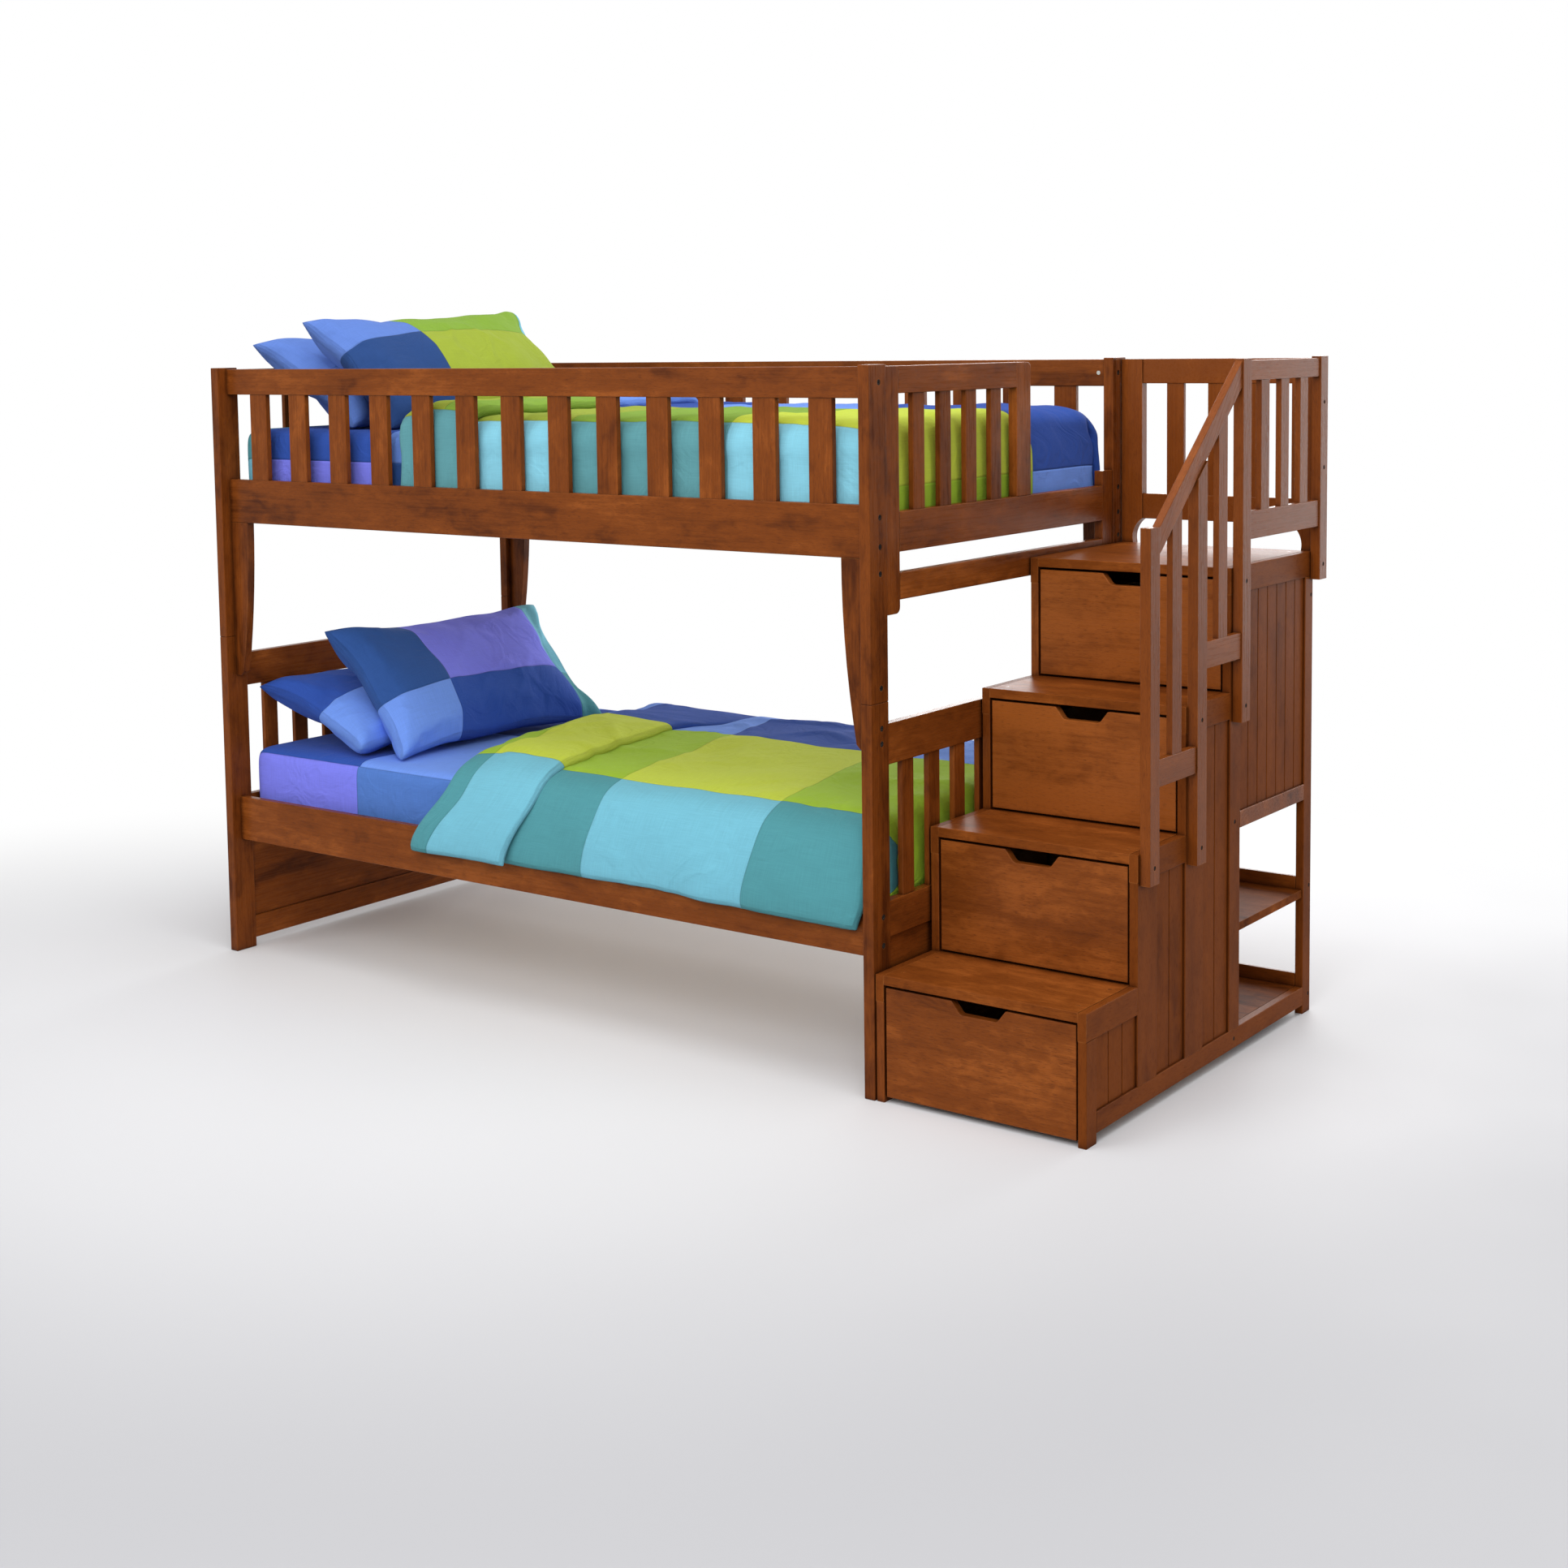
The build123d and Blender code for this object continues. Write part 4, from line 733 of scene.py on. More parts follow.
def sheeted_mattress(name, node, finish, seed):
    low, high = (np.array(corner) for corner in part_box(node))
    counts = [max(2, int(round(length / MATTRESS_STEP))) for length in high - low]
    axes = [np.linspace(low[k], high[k], counts[k] + 1) for k in range(3)]
    index, points, faces = {}, [], []

    def corner(i, j, k):
        if (i, j, k) not in index:
            index[i, j, k] = len(points)
            points.append((axes[0][i], axes[1][j], axes[2][k]))
        return index[i, j, k]

    for fixed in range(3):
        one, two = (fixed + 1) % 3, (fixed + 2) % 3
        for end in (0, counts[fixed]):
            for a in range(counts[one]):
                for b in range(counts[two]):
                    ring = []
                    for da, db in ((0, 0), (1, 0), (1, 1), (0, 1)):
                        place = [0, 0, 0]
                        place[fixed], place[one], place[two] = end, a + da, b + db
                        ring.append(corner(*place))
                    faces.append(ring if end else ring[::-1])
    points = np.array(points)
    core = np.clip(points, low + MATTRESS_ROUND, high - MATTRESS_ROUND)
    out = points - core
    out /= np.maximum(np.linalg.norm(out, axis=1, keepdims=True), TINY)
    shaped = core + out * MATTRESS_ROUND
    drop = np.maximum(high[2] - SHEET_TURN - shaped[:, 2], 0.0)
    sideways = np.sign(out) * (np.abs(out) > LOOKS_SIDEWAYS) * drop[:, None]
    under = np.where(out[:, 2] < LOOKS_DOWN, -1.0, 1.0)
    marks = np.column_stack((shaped[:, 0] + sideways[:, 0], shaped[:, 1] + sideways[:, 1], under))
    pull = ripples(shaped[:, 0] * PULL_ALONG + shaped[:, 1], shaped[:, 2] * PULL_UP, seed, PULL_LENGTH)
    dent = ripples(shaped[:, 0], shaped[:, 1], seed + 1, DENT_LENGTH)
    inward = np.where(np.abs(out[:, 2]) > LOOKS_LEVEL, TOP_DENT * (1.0 + dent), SIDE_PULL * (1.0 + pull))
    inward *= out[:, 2] > NOT_UNDER
    piece = cloth_piece(name, shaped - out * inward[:, None], faces, marks)
    dress(piece, finish, node)


LOWER_SHEET_EDGE = -0.4755
lower_sheet_cotton = make_cotton(
    "fitted_sheet_lower",
    [
        sewn_column(LOWER_SHEET_EDGE, (-0.845, -0.42), PURPLE, MID_BLUE, PURPLE),
        sewn_column(0.0, (-0.840, -0.40), ROYAL, PERIWINKLE, ROYAL),
        sewn_column(None, (-0.840, -0.40), PERIWINKLE, ROYAL, PERIWINKLE),
    ],
    backing=TICKING,
)
UPPER_SHEET_EDGE = -0.5395
UPPER_SHEET_SEAMS = (-1.165, -0.70, -0.25)
upper_sheet_cotton = make_cotton(
    "fitted_sheet_upper",
    [
        sewn_column(UPPER_SHEET_EDGE, UPPER_SHEET_SEAMS, AQUA, PURPLE, NAVY, PURPLE),
        sewn_column(0.0, UPPER_SHEET_SEAMS, TEAL, ROYAL, PERIWINKLE, ROYAL),
        sewn_column(None, UPPER_SHEET_SEAMS, AQUA, PURPLE, NAVY, PURPLE),
    ],
    backing=TICKING,
)
sheeted_mattress("lower_sheeted_mattress", "lower_mattress", lower_sheet_cotton, seed=11)
sheeted_mattress("upper_sheeted_mattress", "upper_mattress", upper_sheet_cotton, seed=23)


# duvets
CLOTH_GAP = 0.0012
POST_THICK, POST_DEPTH = 0.026, 0.064
POST_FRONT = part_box("lower_posts")[0][1]
POST_BACK = POST_FRONT + POST_DEPTH
POST_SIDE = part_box("lower_posts")[1][0] - POST_THICK
DUVET_STEP = 0.016
DUVET_THICK, FOLD_THICK, HANG_THICK = 0.032, 0.029, 0.016
DUVET_MIDDLE, FOLD_MIDDLE = 0.52 * DUVET_THICK, 0.52 * FOLD_THICK
CREASE_ROUND = 0.54 * FOLD_THICK
CREASE_TIGHT = 0.6 * CREASE_ROUND
UPPER_LAYER = 3.0 * CREASE_ROUND
# bend at the foot, from its hanging end to the flat, and the ends of the turned-back layer
HANG_TOP = -0.045
FOOT_BEND, FOOT_BEND_HEIGHT, FOOT_ROUND, FOOT_FLAT = 0.002, 0.004, 0.030, 0.090
FOLD_EASE, FREE_FLAT, FREE_DIP = 0.10, 0.05, 0.004
RIM_SOFT, RIM_LEAST = 0.030, 0.12
FOOT_FLARE, FLARE_FALL = 0.090, 0.07
FOOT_SEAM_SHIFT, SEAM_SHIFT_FALL = 0.062, 0.05
# where the sides count as fallen, and where they reach out to the foot post
SIDE_FALL = (0.02, 0.19)
FOOT_EASE = (0.56, 0.68)
REACH_START, REACH_HEM, REACH_LOSS = (0.0, 0.03), (0.12, 0.19), 0.8
LEVEL_SHARE = 0.88
# filling: height, kind of wave, step of its seed and length
PUFFS = (
    (0.0030, ripples, 0, 0.36),
    (0.0016, ripples, 1, 0.15),
    (0.0075, rucks, 2, 0.30),
    (0.0045, rucks, 4, 0.13),
)
FOLD_PITCH, FOLD_WANDER, FOLD_WANDER_ACROSS, FOLD_WANDER_LENGTH = 0.23, 0.10, 0.4, 0.8
FOLD_LEAST, FOLD_CHANGE, FOLD_CHANGE_LENGTH = 0.6, 0.4, 0.7
TURNED_EASE, BACK_REACH = 0.15, (-0.05, 0.42)
HEM_WAVE, HEM_WAVE_ACROSS, HEM_WAVE_LENGTH = 0.9, 0.2, 0.42
HEM_DIP, HEM_DIP_REACH = 2.0, (0.40, 0.68)


def duvet(name, node, bed_top, cross, slim, lengths, lean, sway, clear, columns, seed, back_sink):
    """Duvet laid over the mattress, dropped at the foot and turned back at the head.

    cross is the (y, z) path that its underside follows from the back edge to the front hem,
    slim its thickness there as a share of the full one, lengths the places along the bed,
    sway the depth of the folds in its sides, back_sink how far its turned-back end sinks at
    the back, and clear keeps its points off the frame."""
    foot_x, foot_hem, crease_x, free_x = lengths
    run_points = [
        (foot_x, foot_hem - bed_top),
        (foot_x, HANG_TOP),
        (foot_x - FOOT_BEND, FOOT_BEND_HEIGHT),
        (foot_x - FOOT_ROUND, DUVET_MIDDLE),
        (foot_x - FOOT_FLAT, DUVET_MIDDLE),
        (free_x + FOLD_EASE, DUVET_MIDDLE),
        (free_x, FOLD_MIDDLE),
        (crease_x + CREASE_ROUND, FOLD_MIDDLE),
        (crease_x - CREASE_TIGHT, FOLD_MIDDLE),
        (crease_x - CREASE_TIGHT, UPPER_LAYER),
        (crease_x + CREASE_ROUND, UPPER_LAYER),
        (free_x - FREE_FLAT, UPPER_LAYER),
        (free_x, UPPER_LAYER - FREE_DIP),
    ]
    run, run_marks = even_run(run_points, DUVET_STEP)
    base, base_marks = even_run(cross, DUVET_STEP)
    turn = int(np.argmin(run[:, 0]))
    along = run_marks[turn] - run_marks
    halfway = np.argmin(np.abs(base_marks - base_marks[-1] / 2.0))
    across = base[halfway, 0] - (base_marks - base_marks[halfway])
    tangent = np.gradient(base, axis=0)
    tangent /= np.linalg.norm(tangent, axis=1, keepdims=True)
    outward = np.stack((tangent[:, 1], -tangent[:, 0]), axis=1)
    outward *= np.sign(outward[len(outward) // 2, 1])
    thin = np.interp(base_marks / base_marks[-1], *slim)
    rows, cols = len(run), len(base)
    height = run[:, 1][:, None]
    laid = height > 0.0
    hanging = run[:, 1] < 0.0
    x = run[:, 0][:, None] + lean(run[:, 0][:, None], along[:, None], base[None, :, 0], base[None, :, 1])
    lift = height * np.where(laid, thin[None, :], 1.0)
    wide_x, wide_y = np.broadcast_arrays(x, across[None, :])
    puff = 0.0
    for amount, kind, step, length in PUFFS:
        puff = puff + amount * kind(wide_x, wide_y, seed + step, length)
    fall = bed_top - base[None, :, 1]
    fallen = smoothstep(fall, *SIDE_FALL)
    near_foot = smoothstep(x, *FOOT_EASE)
    end_x = run[np.argmin(hanging), 0]
    reach = smoothstep(fall, *REACH_START) * (1.0 - REACH_LOSS * smoothstep(fall, *REACH_HEM))
    x = x + (POST_SIDE - CLOTH_GAP - end_x) * reach * near_foot
    wander = FOLD_WANDER * ripples(wide_x, FOLD_WANDER_ACROSS * wide_y, seed + 6, FOLD_WANDER_LENGTH)
    wave = np.sin(2.0 * math.pi * (wide_x + wander) / FOLD_PITCH)
    deep = FOLD_LEAST + FOLD_CHANGE * ripples(wide_x, wide_y, seed + 7, FOLD_CHANGE_LENGTH)
    fold = sway * (1.0 + wave) * deep * fallen * (1.0 - near_foot)
    lift = lift + np.where(laid, puff * thin[None, :] + np.maximum(fold, 0.0), 0.0)
    turned = 1.0 - smoothstep(run[:, 0], free_x, free_x + TURNED_EASE)
    sunk = 1.0 - back_sink * smoothstep(base[None, :, 0], *BACK_REACH) * turned[:, None]
    lift = lift * np.where(laid, sunk, 1.0)
    middle = np.empty((rows, cols, 3))
    middle[..., 0] = x
    flare = 1.0 + FOOT_FLARE * smoothstep(-height, 0.0, FLARE_FALL)
    middle[..., 1] = base[None, :, 0] * flare + outward[None, :, 0] * lift
    middle[..., 2] = base[None, :, 1] + outward[None, :, 1] * lift
    dip = HEM_WAVE * sway * ripples(wide_x, HEM_WAVE_ACROSS * wide_y, seed + 8, HEM_WAVE_LENGTH)
    dip = dip + HEM_DIP * sway * smoothstep(x, *HEM_DIP_REACH)
    middle[..., 2] -= fallen * dip
    thick = np.interp(run[:, 0], (free_x, free_x + FOLD_EASE), (FOLD_THICK, DUVET_THICK))
    thick = np.where(np.arange(rows) > turn, FOLD_THICK, thick)
    thick = np.where(hanging, np.minimum(thick, HANG_THICK), thick)
    half = 0.5 * thick[:, None] * thin[None, :] * sunk
    drop_part = np.abs(outward[:, 1]) < LEVEL_SHARE
    keep = ~(hanging[:-1, None] & (drop_part[:-1] | drop_part[1:])[None, :])
    rim_rows = np.minimum(run_marks, run_marks[-1] - run_marks)
    rim_cols = np.minimum(base_marks, base_marks[-1] - base_marks)
    rim = np.minimum(rim_rows[:, None], rim_cols[None, :])
    half *= np.sqrt(1.0 - (1.0 - np.clip(rim / RIM_SOFT, RIM_LEAST, 1.0)) ** 2)
    shift = FOOT_SEAM_SHIFT * smoothstep(-height, 0.0, SEAM_SHIFT_FALL)
    flat = np.dstack(np.broadcast_arrays(along[:, None], across[None, :] - shift))
    piece = cloth_shell(name, middle, half, keep, flat)
    swell(piece, pressure=2.2, growth=0.030, bending=0.06, cap=0.009)
    set_points(piece, clear(points_of(piece.data)))
    dress(piece, make_cotton(name + "_cotton", columns), node)


LOWER_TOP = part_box("lower_mattress")[1][2]
LOWER_RAIL_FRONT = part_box("lower_side_rails")[0][1]
LOWER_RAIL_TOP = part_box("lower_side_rails")[1][2]
LOWER_SETTLED = (0.45, 0.68)
LOWER_SLANT, SLANT_FRONT, SLANT_START = -0.207, -0.44, 0.42
LOWER_DROP_TOP, LOWER_DROP = 0.53, 0.19
SWING, HEAD_SWING, HEAD_SWING_REACH = 0.036, 0.066, (-0.35, 0.0)
FLOP, FLOP_ACROSS, FLOP_ALONG = 0.15, (0.12, 0.46), (0.12, 0.28)
FREE_HANG = 0.60


def lower_lean(x, along, y, z):
    """The lower duvet lies a little askew, and its drop swings towards the head."""
    settled = 1.0 - smoothstep(x, *LOWER_SETTLED)
    slant = LOWER_SLANT * (np.maximum(y, SLANT_FRONT) + SLANT_START)
    drop = smoothstep(LOWER_DROP_TOP - z, 0.0, LOWER_DROP)
    swing = -drop * (SWING + HEAD_SWING * (1.0 - smoothstep(x, *HEAD_SWING_REACH)))
    flop = FLOP * smoothstep(y, *FLOP_ACROSS) * smoothstep(-along, *FLOP_ALONG)
    return settled * (slant + swing) + flop


def outside_rail(points):
    """Points of the lower duvet, kept in front of the rail that it hangs over and beside the foot post."""
    beside = (points[:, 2] < LOWER_RAIL_TOP + CLOTH_GAP) & (points[:, 1] < 0.0)
    points[beside, 1] = np.minimum(points[beside, 1], LOWER_RAIL_FRONT - CLOTH_GAP)
    corner = points[:, 1] < POST_BACK
    points[corner, 0] = np.minimum(points[corner, 0], POST_SIDE - CLOTH_GAP)
    by_post = smoothstep(points[:, 0], *FOOT_EASE)
    points[:, 1] = np.maximum(points[:, 1], -FREE_HANG + by_post * (FREE_HANG + POST_FRONT + CLOTH_GAP))
    return points


lower_side = [
    (0.464, 0.001), (0.30, 0.001), (-0.38, 0.001), (-0.462, 0.001), (-0.500, -0.022),
    (-0.517, -0.070), (-0.5245, -0.115), (-0.525, -0.150), (-0.5255, -0.190),
]
LOWER_SEAMS = (-0.075, 0.483, 0.939)
lower_columns = [
    sewn_column(-0.43, LOWER_SEAMS, AQUA, TEAL, AQUA, TEAL),
    sewn_column(0.125, LOWER_SEAMS, LIME, GREEN, LIME, GREEN),
    sewn_column(None, LOWER_SEAMS, ROYAL, PERIWINKLE, ROYAL, PERIWINKLE),
]
LOWER_FOOT, LOWER_FOOT_HEM, LOWER_CREASE, LOWER_FREE_EDGE = 0.7125, 0.365, -0.48, -0.195
duvet(
    "lower_spread_duvet",
    "lower_duvet",
    LOWER_TOP,
    cross=[(y, LOWER_TOP + z) for y, z in lower_side],
    slim=((0.0, 0.76, 0.86, 1.0), (1.0, 1.0, 0.58, 0.56)),
    lengths=(LOWER_FOOT, LOWER_FOOT_HEM, LOWER_CREASE, LOWER_FREE_EDGE),
    lean=lower_lean,
    sway=0.0042, clear=outside_rail, columns=lower_columns, seed=31, back_sink=0.50,
)

UPPER_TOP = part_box("upper_mattress")[1][2]
RAIL_THICK = 0.020
UPPER_RAIL_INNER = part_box("upper_side_rails")[1][1] - RAIL_THICK
UPPER_SETTLED = (0.40, 0.66)
UPPER_SLANT, UPPER_EDGE = -0.10, 0.46


def upper_lean(x, along, y, z):
    """The upper duvet is tucked in, and its turned-back end runs a little askew."""
    settled = 1.0 - smoothstep(x, *UPPER_SETTLED)
    return settled * UPPER_SLANT * (np.clip(y, -UPPER_EDGE, UPPER_EDGE) + UPPER_EDGE)


def inside_guards(points):
    """Points of the upper duvet, kept between the guards that it is tucked behind."""
    reach = UPPER_RAIL_INNER - CLOTH_GAP
    points[:, 1] = np.clip(points[:, 1], -reach, reach)
    return points


upper_side = [
    (0.484, -0.168), (0.484, -0.070), (0.483, -0.022), (0.459, 0.001), (0.38, 0.001), (0.10, 0.001),
]
upper_sides = upper_side + [(-y, z) for y, z in reversed(upper_side)]
UPPER_SEAMS = (-0.155, 0.0, 0.544, 1.005, 1.475)
# the front column uses the lighter copies of teal and aqua, and the head blocks of the middle one the darker
# copies of lime and green: painted light and shade
upper_columns = [
    sewn_column(-0.462, UPPER_SEAMS[1:4], PAINTED_LIGHT_TEAL, PAINTED_LIGHT_AQUA, PAINTED_LIGHT_TEAL, PAINTED_LIGHT_AQUA),
    sewn_column(0.085, UPPER_SEAMS, PAINTED_SHADE_GREEN, PAINTED_SHADE_LIME, PAINTED_SHADE_LIME, PAINTED_SHADE_GREEN, LIME, GREEN),
    sewn_column(None, UPPER_SEAMS, PERIWINKLE, ROYAL, ROYAL, PERIWINKLE, ROYAL, PERIWINKLE),
]
UPPER_FOOT, UPPER_FOOT_HEM, UPPER_CREASE, UPPER_FREE_EDGE = 0.7125, 1.165, -0.635, -0.40
duvet(
    "upper_tucked_duvet",
    "upper_duvet",
    UPPER_TOP,
    cross=[(y, UPPER_TOP + z) for y, z in upper_sides],
    slim=((0.0, 0.09, 0.14, 0.86, 0.91, 1.0), (0.34, 0.36, 1.0, 1.0, 0.36, 0.34)),
    lengths=(UPPER_FOOT, UPPER_FOOT_HEM, UPPER_CREASE, UPPER_FREE_EDGE),
    lean=upper_lean,
    sway=0.0016, clear=inside_guards, columns=upper_columns, seed=47, back_sink=0.0,
)


# pillows
PILLOW_STEP = 0.011
LEAN_TILT, LEAN_YAW = math.radians(47.0), math.radians(2.0)
UPPER_LEAN_TILT, UPPER_LEAN_YAW = math.radians(41.0), math.radians(3.0)
UPPER_LEAN_ROLL = math.radians(3.0)
FLAT_TILT, UPPER_FLAT_TILT, FLAT_YAW = math.radians(18.0), math.radians(31.0), 0.0
# sizes across the bed, up the pillow and through it
LEAN_SIZE = (0.770, 0.440, 0.122)
UPPER_LEAN_SIZE = (0.790, 0.440, 0.122)
FLAT_SIZE = (0.738, 0.440, 0.100)
UPPER_FLAT_SIZE = (0.690, 0.440, 0.108)
CROWN = 0.42
RIM_HALF = 0.0024
DRAWN_IN_UP, DRAWN_IN_ACROSS = 0.075, 0.060
CASE_WAVE, CASE_WAVE_LENGTH, CROWN_CALM = 0.006, 0.22, 0.6
LUMPS, LUMP_LENGTH = 0.05, 0.16
CASE_RUCK, CASE_RUCK_LENGTH = 0.008, 0.17
REST_GAP, REST_SQUASH = 0.002, 0.02


def pillow(node, size, pose, columns, seed, flap=0.0, sink=0.0, roll=0.0):
    """Pillow in its case: crowned, drawn in between the corners, resting on the bed.

    pose is (tilt, yaw, top of the bed); flap is the empty end of the case."""
    name = node + "_case"
    length, width, thick = size
    tilt, yaw, bed_top = pose
    rows, cols = int(round(width / PILLOW_STEP)), int(round(length / PILLOW_STEP))
    up = np.linspace(0.0, 1.0, rows)[:, None]
    over = np.linspace(0.0, 1.0, cols)[None, :]
    stuffed = np.clip(over * length / (length - flap), 0.0, 1.0)
    crown = np.sin(math.pi * stuffed).clip(0.0) ** CROWN * np.sin(math.pi * up).clip(0.0) ** CROWN
    half = np.maximum(0.5 * thick * crown, RIM_HALF) * np.ones((rows, cols))
    middle = np.zeros((rows, cols, 3))
    middle[..., 0] = (up - 0.5) * width * (1.0 - DRAWN_IN_UP * np.sin(math.pi * stuffed))
    middle[..., 1] = (0.5 - over) * length * (1.0 - DRAWN_IN_ACROSS * np.sin(math.pi * up))
    wave = ripples(middle[..., 0], middle[..., 1], seed, CASE_WAVE_LENGTH)
    middle[..., 2] = CASE_WAVE * wave * (1.0 - CROWN_CALM * crown)
    half *= 1.0 + LUMPS * ripples(middle[..., 1], middle[..., 0], seed + 1, LUMP_LENGTH)
    half = half + CASE_RUCK * rucks(middle[..., 1], middle[..., 0], seed + 2, CASE_RUCK_LENGTH) * crown
    flat = np.dstack(np.broadcast_arrays(over * length, up * width))
    piece = cloth_shell(name, middle, half, np.ones((rows - 1, cols - 1), bool), flat)
    swell(piece, pressure=4.0, growth=0.050, bending=0.05, cap=0.020)
    upward = Vector((-math.cos(tilt) * math.cos(yaw), math.cos(tilt) * math.sin(yaw), math.sin(tilt)))
    facing = Vector((math.sin(tilt) * math.cos(yaw), -math.sin(tilt) * math.sin(yaw), math.cos(tilt)))
    low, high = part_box(node)
    centre = (Vector(low) + Vector(high)) / 2.0
    upward = Matrix.Rotation(roll, 3, facing) @ upward
    turn = np.array(Matrix((upward, facing.cross(upward), facing)).transposed())
    points = points_of(piece.data) @ turn.T + np.array(centre)
    points[:, 2] -= sink
    rest = bed_top + REST_GAP
    pressed = points[:, 2] < rest
    points[pressed, 2] = rest + (points[pressed, 2] - rest) * REST_SQUASH
    set_points(piece, points)
    dress(piece, make_cotton(name + "_cotton", columns), node)


LOWER_LEAN_SEAMS, UPPER_LEAN_SEAMS = (0.225, 0.680), (0.270, 0.745)
lower_lean_columns = [
    sewn_column(0.172, LOWER_LEAN_SEAMS, PERIWINKLE, ROYAL, TEAL),
    sewn_column(None, LOWER_LEAN_SEAMS, NAVY, PURPLE, AQUA),
]
lower_flat_columns = [
    sewn_column(0.215, (0.33,), PERIWINKLE, ROYAL),
    sewn_column(None, (0.285,), ROYAL, PURPLE),
]
# the upper pillows use the darker copies of navy, periwinkle, lime and green: painted shade
upper_lean_columns = [
    sewn_column(0.285, UPPER_LEAN_SEAMS, PAINTED_SHADE_NAVY, PAINTED_SHADE_LIME, TEAL),
    sewn_column(None, UPPER_LEAN_SEAMS, PAINTED_SHADE_PERIWINKLE, PAINTED_SHADE_GREEN, AQUA),
]
upper_flat_columns = [
    sewn_column(0.215, (0.33,), PAINTED_SHADE_PERIWINKLE, PAINTED_SHADE_NAVY),
    sewn_column(None, (0.33,), PAINTED_SHADE_PERIWINKLE, ROYAL),
]
pillow("lower_flat_pillow", FLAT_SIZE, (FLAT_TILT, FLAT_YAW, LOWER_TOP), lower_flat_columns, seed=61)
pillow(
    "lower_lean_pillow", LEAN_SIZE, (LEAN_TILT, LEAN_YAW, LOWER_TOP), lower_lean_columns,
    seed=67, flap=0.075, sink=0.006,
)
pillow(
    "upper_flat_pillow", UPPER_FLAT_SIZE, (UPPER_FLAT_TILT, FLAT_YAW, UPPER_TOP), upper_flat_columns,
    seed=71, sink=0.008,
)
pillow(
    "upper_lean_pillow", UPPER_LEAN_SIZE, (UPPER_LEAN_TILT, UPPER_LEAN_YAW, UPPER_TOP), upper_lean_columns,
    seed=73, flap=0.060, sink=0.006, roll=UPPER_LEAN_ROLL,
)


# studio
FLOOR_HALF = 9.0
FLOOR_MIDDLE = (0.8, -1.9, 0.0)
FLOOR_CLEAR, FLOOR_FADED = 2.7, 4.4
FLOOR_PALE = (-0.7, 0.3, 0.0)
FLOOR_PALE_REACH = (1.5, 3.2)
FLOOR_MOTTLE, MOTTLE_BAND = (1.5, 1.5, 1.5), (0.2, 0.8)
FLOOR_ROUGHNESS = (0.55, 0.65)
FLOOR_SHINE = 0.1
ROOM_LIGHT = 0.50


def make_floor():
    mesh = bpy.data.meshes.new("studio_floor")
    ring = [(-1, -1), (1, -1), (1, 1), (-1, 1)]
    mesh.from_pydata([(FLOOR_HALF * x, FLOOR_HALF * y, 0.0) for x, y in ring], [], [(0, 1, 2, 3)])
    floor = bpy.data.objects.new("studio_floor", mesh)
    scene.collection.objects.link(floor)
    material, tree, surface = new_finish("studio_floor_paint")
    place = object_place(tree)
    mottle = cloud(tree, place, FLOOR_MOTTLE, detail=2.0)
    rough = spread(tree, mottle, *MOTTLE_BAND, *FLOOR_ROUGHNESS)
    # the floor paint darkens with distance from a pale middle: painted shade, as if the light fell off
    # towards the front and right
    from_pale = add(tree, "ShaderNodeVectorMath", {0: place, 1: FLOOR_PALE}, operation="DISTANCE")
    painted_floor_shade = spread(tree, from_pale.outputs["Value"], *FLOOR_PALE_REACH)
    coat(tree, surface, mix_colour(tree, painted_floor_shade, FLOOR_GREY, FLOOR_PAINTED_SHADE_GREY), rough, FLOOR_SHINE)
    reach = add(tree, "ShaderNodeVectorMath", {0: place, 1: FLOOR_MIDDLE}, operation="DISTANCE")
    faded = spread(tree, reach.outputs["Value"], FLOOR_CLEAR, FLOOR_FADED)
    white = add(tree, "ShaderNodeEmission", {"Color": WHITE, "Strength": 1.0})
    share = calc(tree, "MULTIPLY", faded, seen_straight(tree))
    fade = add(tree, "ShaderNodeMixShader", {0: share, 1: surface.outputs[0], 2: white.outputs[0]})
    output = next(node for node in tree.nodes if node.type == "OUTPUT_MATERIAL")
    feed(tree, output, {"Surface": fade.outputs[0]})
    mesh.materials.append(material)


def make_white_room():
    world = bpy.data.worlds.new("white_room")
    world.use_nodes = True
    tree = world.node_tree
    tree.nodes.clear()
    strength = mix_value(tree, seen_straight(tree), ROOM_LIGHT, 1.0)
    background = add(tree, "ShaderNodeBackground", {"Color": WHITE, "Strength": strength})
    add(tree, "ShaderNodeOutputWorld", {"Surface": background.outputs[0]})
    scene.world = world


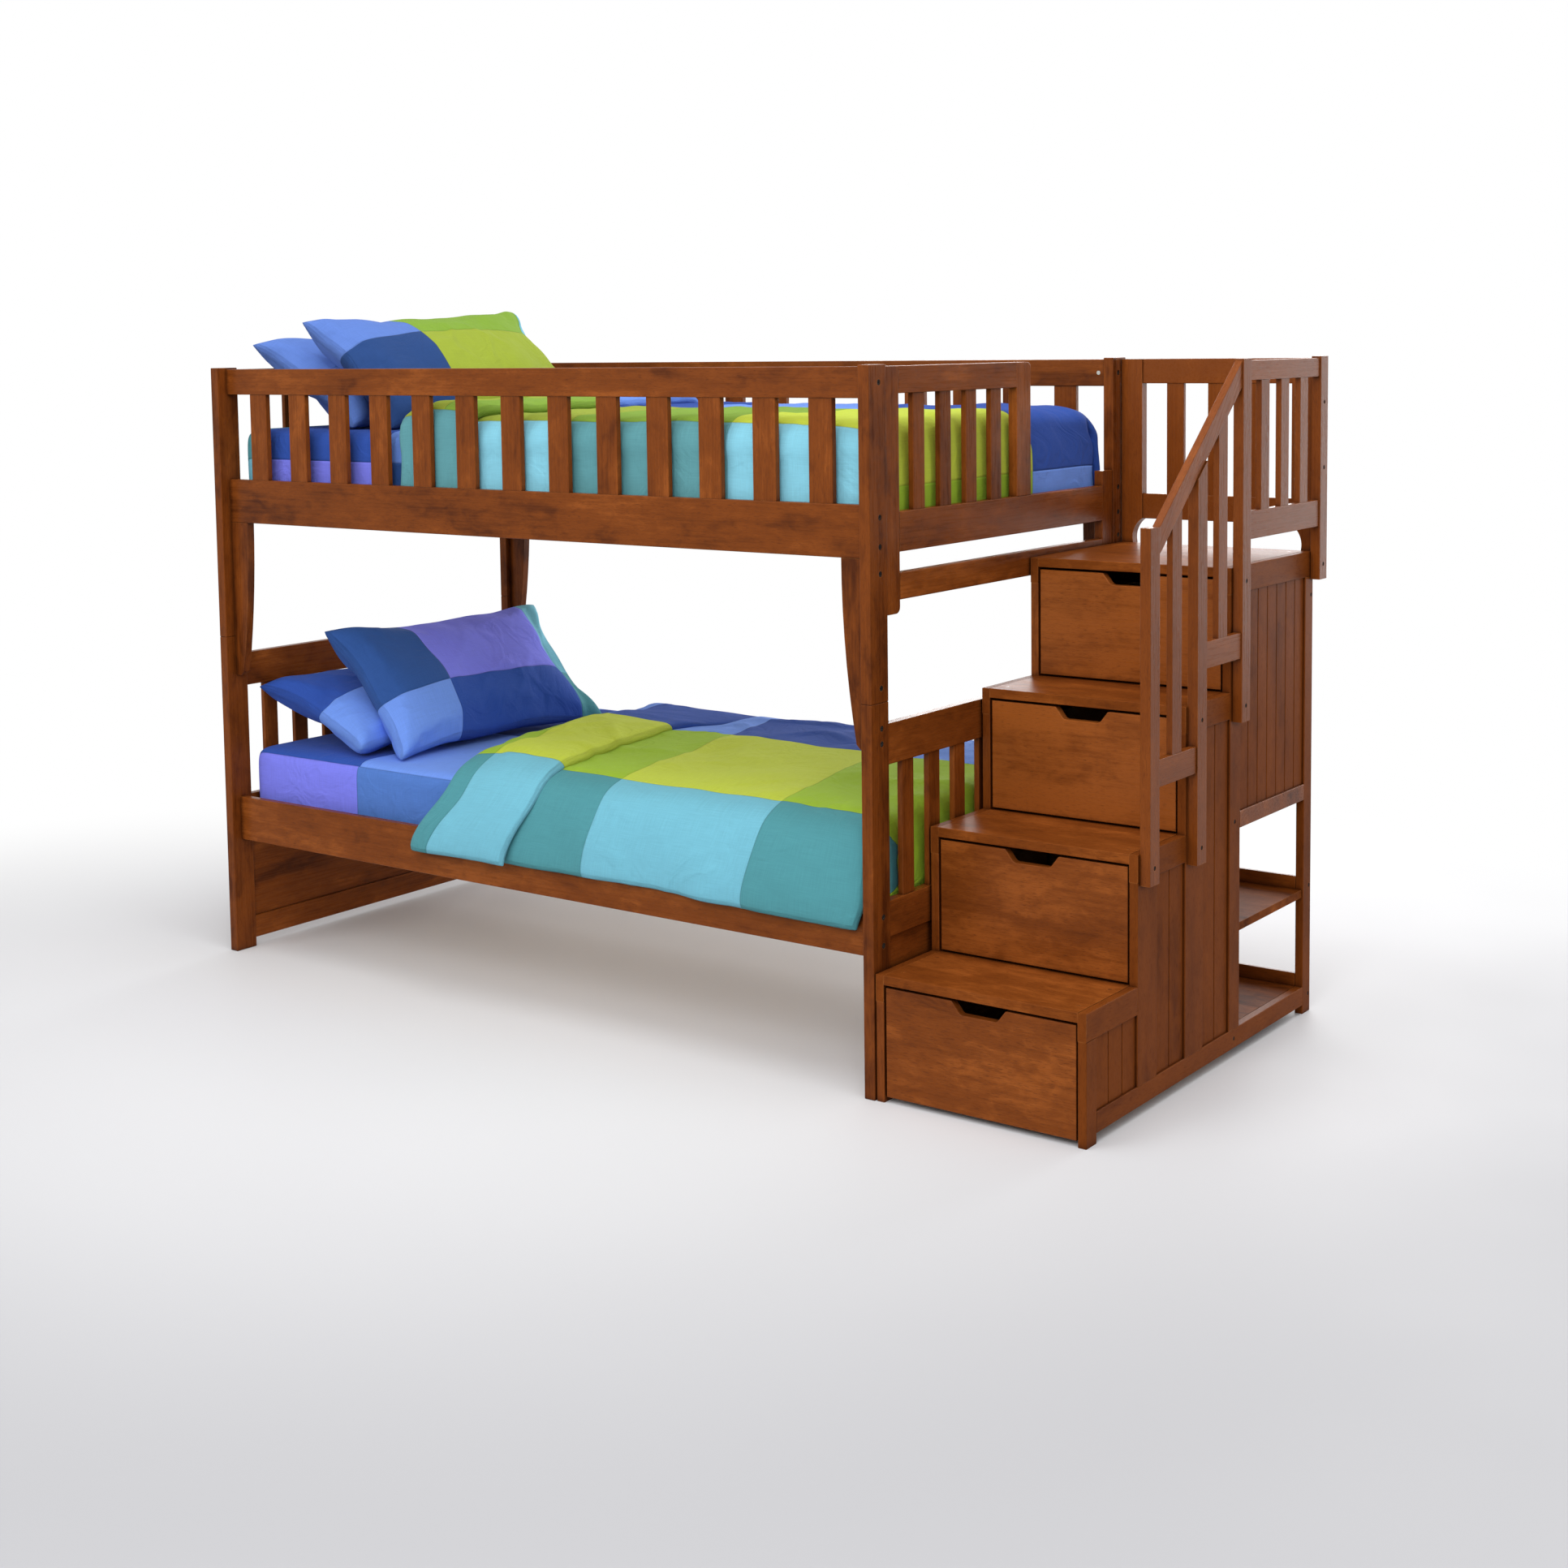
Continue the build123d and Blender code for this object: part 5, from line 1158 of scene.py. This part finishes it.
def soft_box(name, place, target, size, power):
    light = bpy.data.lights.new(name, "AREA")
    light.shape = "RECTANGLE"
    light.size, light.size_y = size
    light.energy = power
    lamp = bpy.data.objects.new(name, light)
    lamp.location = place
    lamp.visible_camera = False
    lamp.rotation_euler = (Vector(target) - Vector(place)).to_track_quat("-Z", "Y").to_euler()
    scene.collection.objects.link(lamp)


make_floor()
make_white_room()
soft_box("right_front_light", place=(2.4, -4.2, 3.6), target=(0.6, 0.0, 0.7), size=(3.2, 3.0), power=114.0)
soft_box("left_front_light", place=(-1.8, -4.6, 3.0), target=(-0.3, 0.0, 0.6), size=(3.0, 2.8), power=60.0)
soft_box("top_light", place=(0.9, -1.0, 4.4), target=(0.6, 0.0, 0.8), size=(3.4, 2.6), power=80.0)
soft_box("stair_light", place=(5.2, -1.2, 2.4), target=(0.6, 0.0, 0.8), size=(2.4, 2.4), power=22.0)
soft_box("back_light", place=(0.0, 4.2, 1.5), target=(0.0, 0.0, 0.9), size=(5.0, 2.6), power=180.0)

# camera
CAMERA_PLACE = Vector((3.2176, -4.1736, 1.5580))
CAMERA_TURN, CAMERA_DIP, CAMERA_ROLL = 0.6362, 0.0873, -0.0131
SENSOR_WIDTH, LENS_LENGTH, LENS_SHIFT = 36.0, 50.22, -0.16
ahead = Vector((
    -math.sin(CAMERA_TURN) * math.cos(CAMERA_DIP),
    math.cos(CAMERA_TURN) * math.cos(CAMERA_DIP),
    -math.sin(CAMERA_DIP),
))
level_right = Vector((math.cos(CAMERA_TURN), math.sin(CAMERA_TURN), 0.0))
level_up = level_right.cross(ahead)
right = level_right * math.cos(CAMERA_ROLL) + level_up * math.sin(CAMERA_ROLL)
upright = level_up * math.cos(CAMERA_ROLL) - level_right * math.sin(CAMERA_ROLL)
lens = bpy.data.cameras.new("photo_camera")
lens.sensor_width = SENSOR_WIDTH
lens.lens = LENS_LENGTH
lens.shift_y = LENS_SHIFT
camera = bpy.data.objects.new("photo_camera", lens)
camera.matrix_world = Matrix((right, upright, -ahead)).transposed().to_4x4()
camera.location = CAMERA_PLACE
scene.collection.objects.link(camera)
scene.camera = camera
